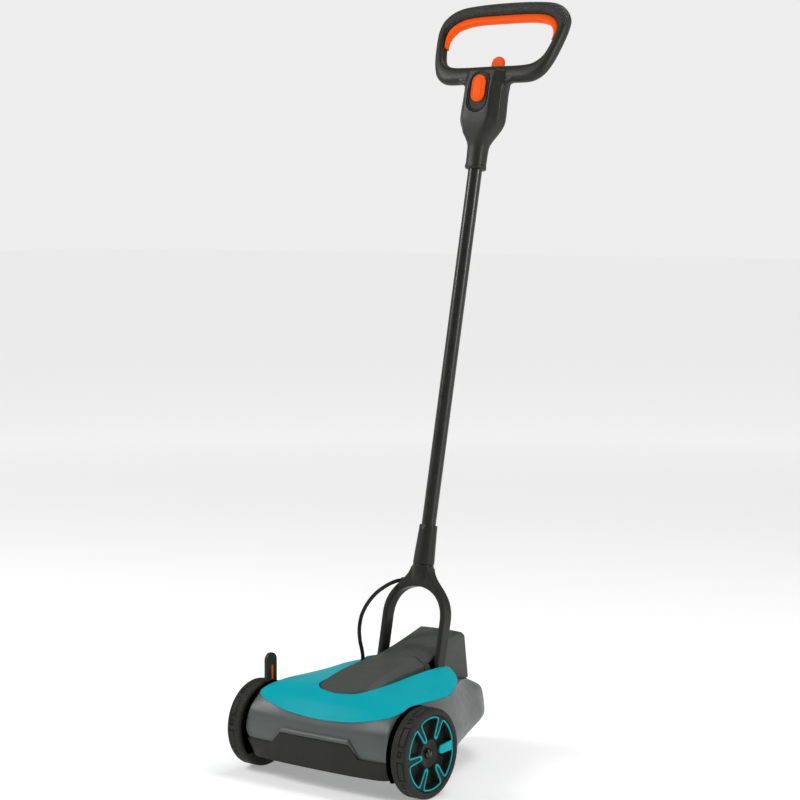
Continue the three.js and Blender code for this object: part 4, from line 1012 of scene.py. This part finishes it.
LOOP_OUTER = [(0, 140.3), (45, 139.3), (84, 135.5), (105, 126.5), (118, 111), (121.5, 93), (117.5, 64),
              (110.5, 34), (101.5, 13), (89, 2), (74, -2), (37, -2), (0, -2)]
LOOP_WINDOW = [(0, 118.6), (48, 118), (77, 114.6), (95.5, 105), (104.5, 90), (102.5, 68), (95, 43),
               (84, 31.5), (65, 26), (0, 26)]
LEVER_WINDOW = [(0, 106.6), (46, 106), (70, 103), (87.5, 96.5), (98, 83), (99.5, 70), (93, 45), (81, 33),
                (62, 27), (0, 27)]
LOOP_MIDDLE = 65.0                    # of the loop's window, up its plane
PANEL = (869, 935, 18.5)              # lowest and highest point along the stick, and half width
BUTTON = (884.6, 927.4, 12.4)


def scaled(half, by):
    """A half outline made larger or smaller about the loop's middle."""
    return [(x * by, LOOP_MIDDLE + (z - LOOP_MIDDLE) * by) for x, z in half]


def distances(half, angles):
    """From the loop's middle to a mirrored, closed outline, for each angle."""
    points = half + [(-x, z) for x, z in half[1:-1]][::-1]
    rel = spline(points, 10, True, 0.45) - np.array([0.0, LOOP_MIDDLE])
    a = np.mod(np.arctan2(rel[:, 1], rel[:, 0]), FULL_TURN)
    order = np.argsort(a)
    a, r = a[order], np.hypot(rel[:, 0], rel[:, 1])[order]
    a = np.concatenate([a[-1:] - FULL_TURN, a, a[:1] + FULL_TURN])
    return np.interp(angles, a, np.concatenate([r[-1:], r, r[:1]]))


def swept_loop(inner, outer, depth, power, start=0.0, stop=FULL_TURN, count=260, grow=0.0, taper=False):
    """A rounded bar between two outlines of the loop, all round or from one angle to another."""
    whole = stop - start > 6.28
    angles = np.linspace(start, stop, count, endpoint=not whole)
    near, far = (distances(half, np.mod(angles, FULL_TURN)) for half in (inner, outer))
    rings = []
    for k, (a, r0, r1) in enumerate(zip(angles, near - grow, far + grow)):
        thin = 0.0
        if taper:
            thin = (grow + 0.5) * (1 - min(1.0, min(k, count - 1 - k) / 9.0))
        middle, half = (r0 + r1) / 2, (r1 - r0) / 2 - thin
        section = rounded(half, depth - thin + grow, depth - thin + grow, power, 32)
        rings.append(np.array([((middle + r) * math.cos(a), n, LOOP_MIDDLE + (middle + r) * math.sin(a))
                               for r, n in section]))
    return put(at_loop, lofted(rings, loop=whole))


# The neck's sections: place along the stick, half width, depth to the front and to the back.
NECK = [(781, 14.6, 14.6, 14.6), (782.5, 15.7, 15.7, 15.7), (786, 15.8, 15.8, 15.8), (788.5, 15, 15, 15),
        (792, 15, 15, 15), (804, 15.2, 15.2, 15.2), (816, 15.7, 15.6, 15.6), (822, 17.4, 16.4, 16.4),
        (829, 20.5, 17.5, 17.5), (838, 26.4, 18.9, 18.9), (846, 31.2, 20, 20), (853, 34.6, 20.7, 20.7),
        (860, 36.4, 21, 21), (872, 36.6, 21, 21), (885, 36, 21, 21), (905, 35.5, 20.5, 21),
        (918, 37, 19.5, 21), (938, 37, 15, 20)]


def neck_ring(z, x, front, back):
    """An oblong section with a flat bevel down its front corners."""
    bevel = ramp_up(z, 822, 848)
    across, deep = 12.5, 13.0
    ring = np.array([(*p, z) for p in rounded(x, front, back, 2.6 + 2.4 * bevel, 72)])
    limit = x / across + front / deep - bevel
    for p in ring:
        spread = abs(p[0]) / across + abs(p[1]) / deep
        if p[1] < 0 and bevel > 0 and spread > limit:
            p[:2] *= limit / spread
    return ring


def handle():
    """The neck and the loop in one skin, with hollows for the panel, the thumb tab and the start bar."""
    neck = put(at_stick, lofted([neck_ring(*row) for row in NECK]))
    parts = [neck, swept_loop(LOOP_WINDOW, LOOP_OUTER, 10.0, 2.5)]
    for side in (-1, 1):
        curve = arc((50.5, 905.5), 14, math.pi, math.pi / 2, 13)
        shape = [(28, 905.5), *curve, (50.5, 926), (28, 926)]
        parts.append(rounded_slab([(side * x, z) for x, z in shape], -6.0, 9.0, 4.5, at_stick))
    well = rounded_slab(oval(*PANEL, 0.4), -40.0, -17.9, 0.1, at_stick, 1)
    seat = rounded_slab([(-14, 908), (14, 908), (14, 924), (-14, 924)], 15.3, 60.0, 0.1, at_stick, 1)
    groove = swept_loop(scaled(LOOP_WINDOW, 0.955), scaled(LOOP_WINDOW, 1.066), 6.2, 8.0,
                        math.radians(-1.0), math.radians(181.0), 120)
    fused("handle_body", parts, 1.0, 9, BLACK, "handle", ["handle_front_shell", "handle_rear_shell"],
          cutters=[well, seat, groove])


def grip_pad():
    """The soft skin over the top of the loop, thinned out at both ends."""
    skin = swept_loop(LOOP_WINDOW, LOOP_OUTER, 9.9, 2.5, math.radians(10), math.radians(166), 170,
                      grow=0.55, taper=True)
    make("grip_skin", skin, GRIP, "handle", ["soft_grip"], sharp=50)


def start_bar():
    """The orange bar under the loop's upper bar and down both sides."""
    bar = swept_loop(LEVER_WINDOW, scaled(LOOP_WINDOW, 1.003), 5.4, 4.0,
                     math.radians(2.0), math.radians(180.5), 140)
    make("start_bar_look", bar, ORANGE, "start_bar", ["start_lever"], sharp=50)


def oval_rings(shape, rows):
    """Rings of an oval across the stick, one for each row of (grown by, behind)."""
    return [np.array([(x, behind, z) for x, z in oval(*shape, by)]) for by, behind in rows]


def controls():
    """The panel and the lock button in front of the neck, and the thumb tab behind it."""
    rings = oval_rings(PANEL, [(0.0, -18.2), (0.0, -19.4), (-0.5, -20.3), (-1.1, -20.5), (-1.9, -20.2),
                               (-2.6, -19.3), (-3.4, -18.9), (-4.4, -18.8)])
    rings += oval_rings(BUTTON, [(0.6, -18.8), (0.6, -18.3)])
    make("panel_dish", put(at_stick, lofted(rings, loop=True)), SKIRT, "handle", ["button_panel"], sharp=40)
    rings = oval_rings(BUTTON, [(0.0, -13.8), (0.0, -20.6), (-0.3, -21.6), (-1.0, -22.3), (-2.0, -22.55),
                                (-2.8, -22.5), (-3.3, -22.0), (-3.9, -21.7), (-4.5, -21.9), (-5.2, -22.2),
                                (-7.0, -22.35), (-9.5, -22.4)])
    make("front_button_look", put(at_stick, lofted(rings)), ORANGE, "front_button", ["lock_button"], sharp=50)
    half, top, foot = 12.2, 969.0, 916.0
    shape = [(half, foot), *arc((0.0, top - half), half, 0, math.pi, 25), (-half, foot)]
    plate = rounded_slab(shape, 22.2, 27.0, 1.4, at_stick)
    knuckle = [[(x, *p) for p in circle((21.2, foot), 4.4, 32)] for x in np.linspace(-half, half, 5)]
    parts = [plate, put(at_stick, lofted(knuckle))]
    fused("thumb_tab_look", parts, 0.6, 2, ORANGE, "thumb_tab", ["thumb_lever"])


# ---------- cable ----------

CABLE_FOOT = (-53.9, 122.0)
# From the gland in the yoke, over and down to the gland in the deck.
ROUTE = [(-25.5, 203.4, 262.9), (-30, 198.1, 264.1), (-36, 191.1, 264.9), (-43.5, 181.3, 261.6),
         (-49.3, 166.7, 255.3), (-53.3, 151.5, 247), (-56, 136, 234.3), (-57.4, 125.5, 221),
         (-57.5, 120.1, 208.3), (-57, 117.5, 195.1), (-56, 118.1, 179.7), (-54.8, 120.7, 167.4),
         (*CABLE_FOOT, 157), (*CABLE_FOOT, 146), (*CABLE_FOOT, 134)]


def tube_mesh(path, radius, count=20):
    """A round section carried along a path without twisting."""
    p = np.asarray(path, float)
    along = np.gradient(p, axis=0)
    along /= np.linalg.norm(along, axis=1)[:, None]
    side = np.cross(along[0], (0.0, 0.0, 1.0))
    rings = []
    for q, t in zip(p, along):
        side = side - t * (side @ t)
        side /= np.linalg.norm(side)
        other = np.cross(t, side)
        rings.append(np.array([q + c * side + s * other for c, s in circle((0.0, 0.0), radius, count)]))
    return lofted(rings)


def cable():
    """The lead from the yoke over and down to the deck, and its two glands."""
    path = spline(ROUTE, 5, False, 0.5)
    obj = make("cable_look", put(at_axle, tube_mesh(path, 2.95)), CABLE, None, ["cable"], sharp=50)
    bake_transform(obj)
    glands()


def glands():
    """The rubber sleeves where the cable goes into the deck and into the yoke."""
    profile = [(3.5, 139), (4.6, 139), (4.8, 139.4), (4.8, 146.4), (4.5, 147.6), (4.2, 149.6), (3.9, 150),
               (3.5, 150)]
    low = put(at_axle, turned(profile, 40, CABLE_FOOT))
    make("deck_gland", low, BLACK, "deck", ["deck_cable_gland"], sharp=50)
    tilt, seat = math.radians(50.2), (-30.0, 0.0, 135.5)
    rings = []
    for r, u in ((3.5, -6.5), (4.4, -6.5), (4.7, -6.1), (5.0, -4.5), (5.0, -1.4), (3.5, -1.4)):
        ring = [(*turn_by([(u, y)], tilt)[0], z) for y, z in circle((0.0, 0.0), r, 36)]
        rings.append(np.array(ring) + seat)
    high = put(at_stick, lofted(rings, loop=True))
    make("yoke_gland", high, BLACK, "handle", ["yoke_cable_gland"], sharp=50)


# ---------- pieces kept from the CAD, with a finish and softened edges ----------

KEPT = {
    "blade": BLADE_STEEL, "controller_board": BOARD, "battery_pack": BATTERY, "battery_release": ORANGE,
    "battery_terminals": BRASS,
}
for material, nodes in (
        (BLACK, ("crank_bush_right", "crank_bush_left", "blade_carrier")),
        (STEEL, ("height_crank", "rear_axle", "blade_bolt", "motor_shaft", "motor", "motor_mount",
                 "motor_screw_1", "motor_screw_2", "motor_screw_3", "motor_screw_4", "lid_pin",
                 "yoke_pin_right", "yoke_pin_left", "thumb_lever_pin", "button_spring")),
        (SKIRT, ("battery_tray", "switch_module")),
        (ROLLER, ("rear_roller_right", "rear_roller_left"))):
    KEPT.update(dict.fromkeys(nodes, material))


def kept_nodes():
    """Hidden and plain pieces of the CAD, given a material and a fine bevel."""
    for node, material in KEPT.items():
        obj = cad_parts[node]
        if isinstance(obj, str):
            obj = bpy.data.objects[obj]
        obj.data.materials.clear()
        obj.data.materials.append(material)
        for poly in obj.data.polygons:
            poly.use_smooth = False
        mod = obj.modifiers.new("soft_edges", "BEVEL")
        mod.width = 0.25 * MM
        mod.segments = 2
        mod.limit_method = "ANGLE"
        mod.angle_limit = math.radians(28)
        mod.harden_normals = False


camera()
studio()
cable()
deck()
cover()
skirt()
hood()
arches()
for which in ("right", "left"):
    wheel_face(which)
lever()
yoke()
sleeve()
tube()
handle()
grip_pad()
start_bar()
controls()
kept_nodes()
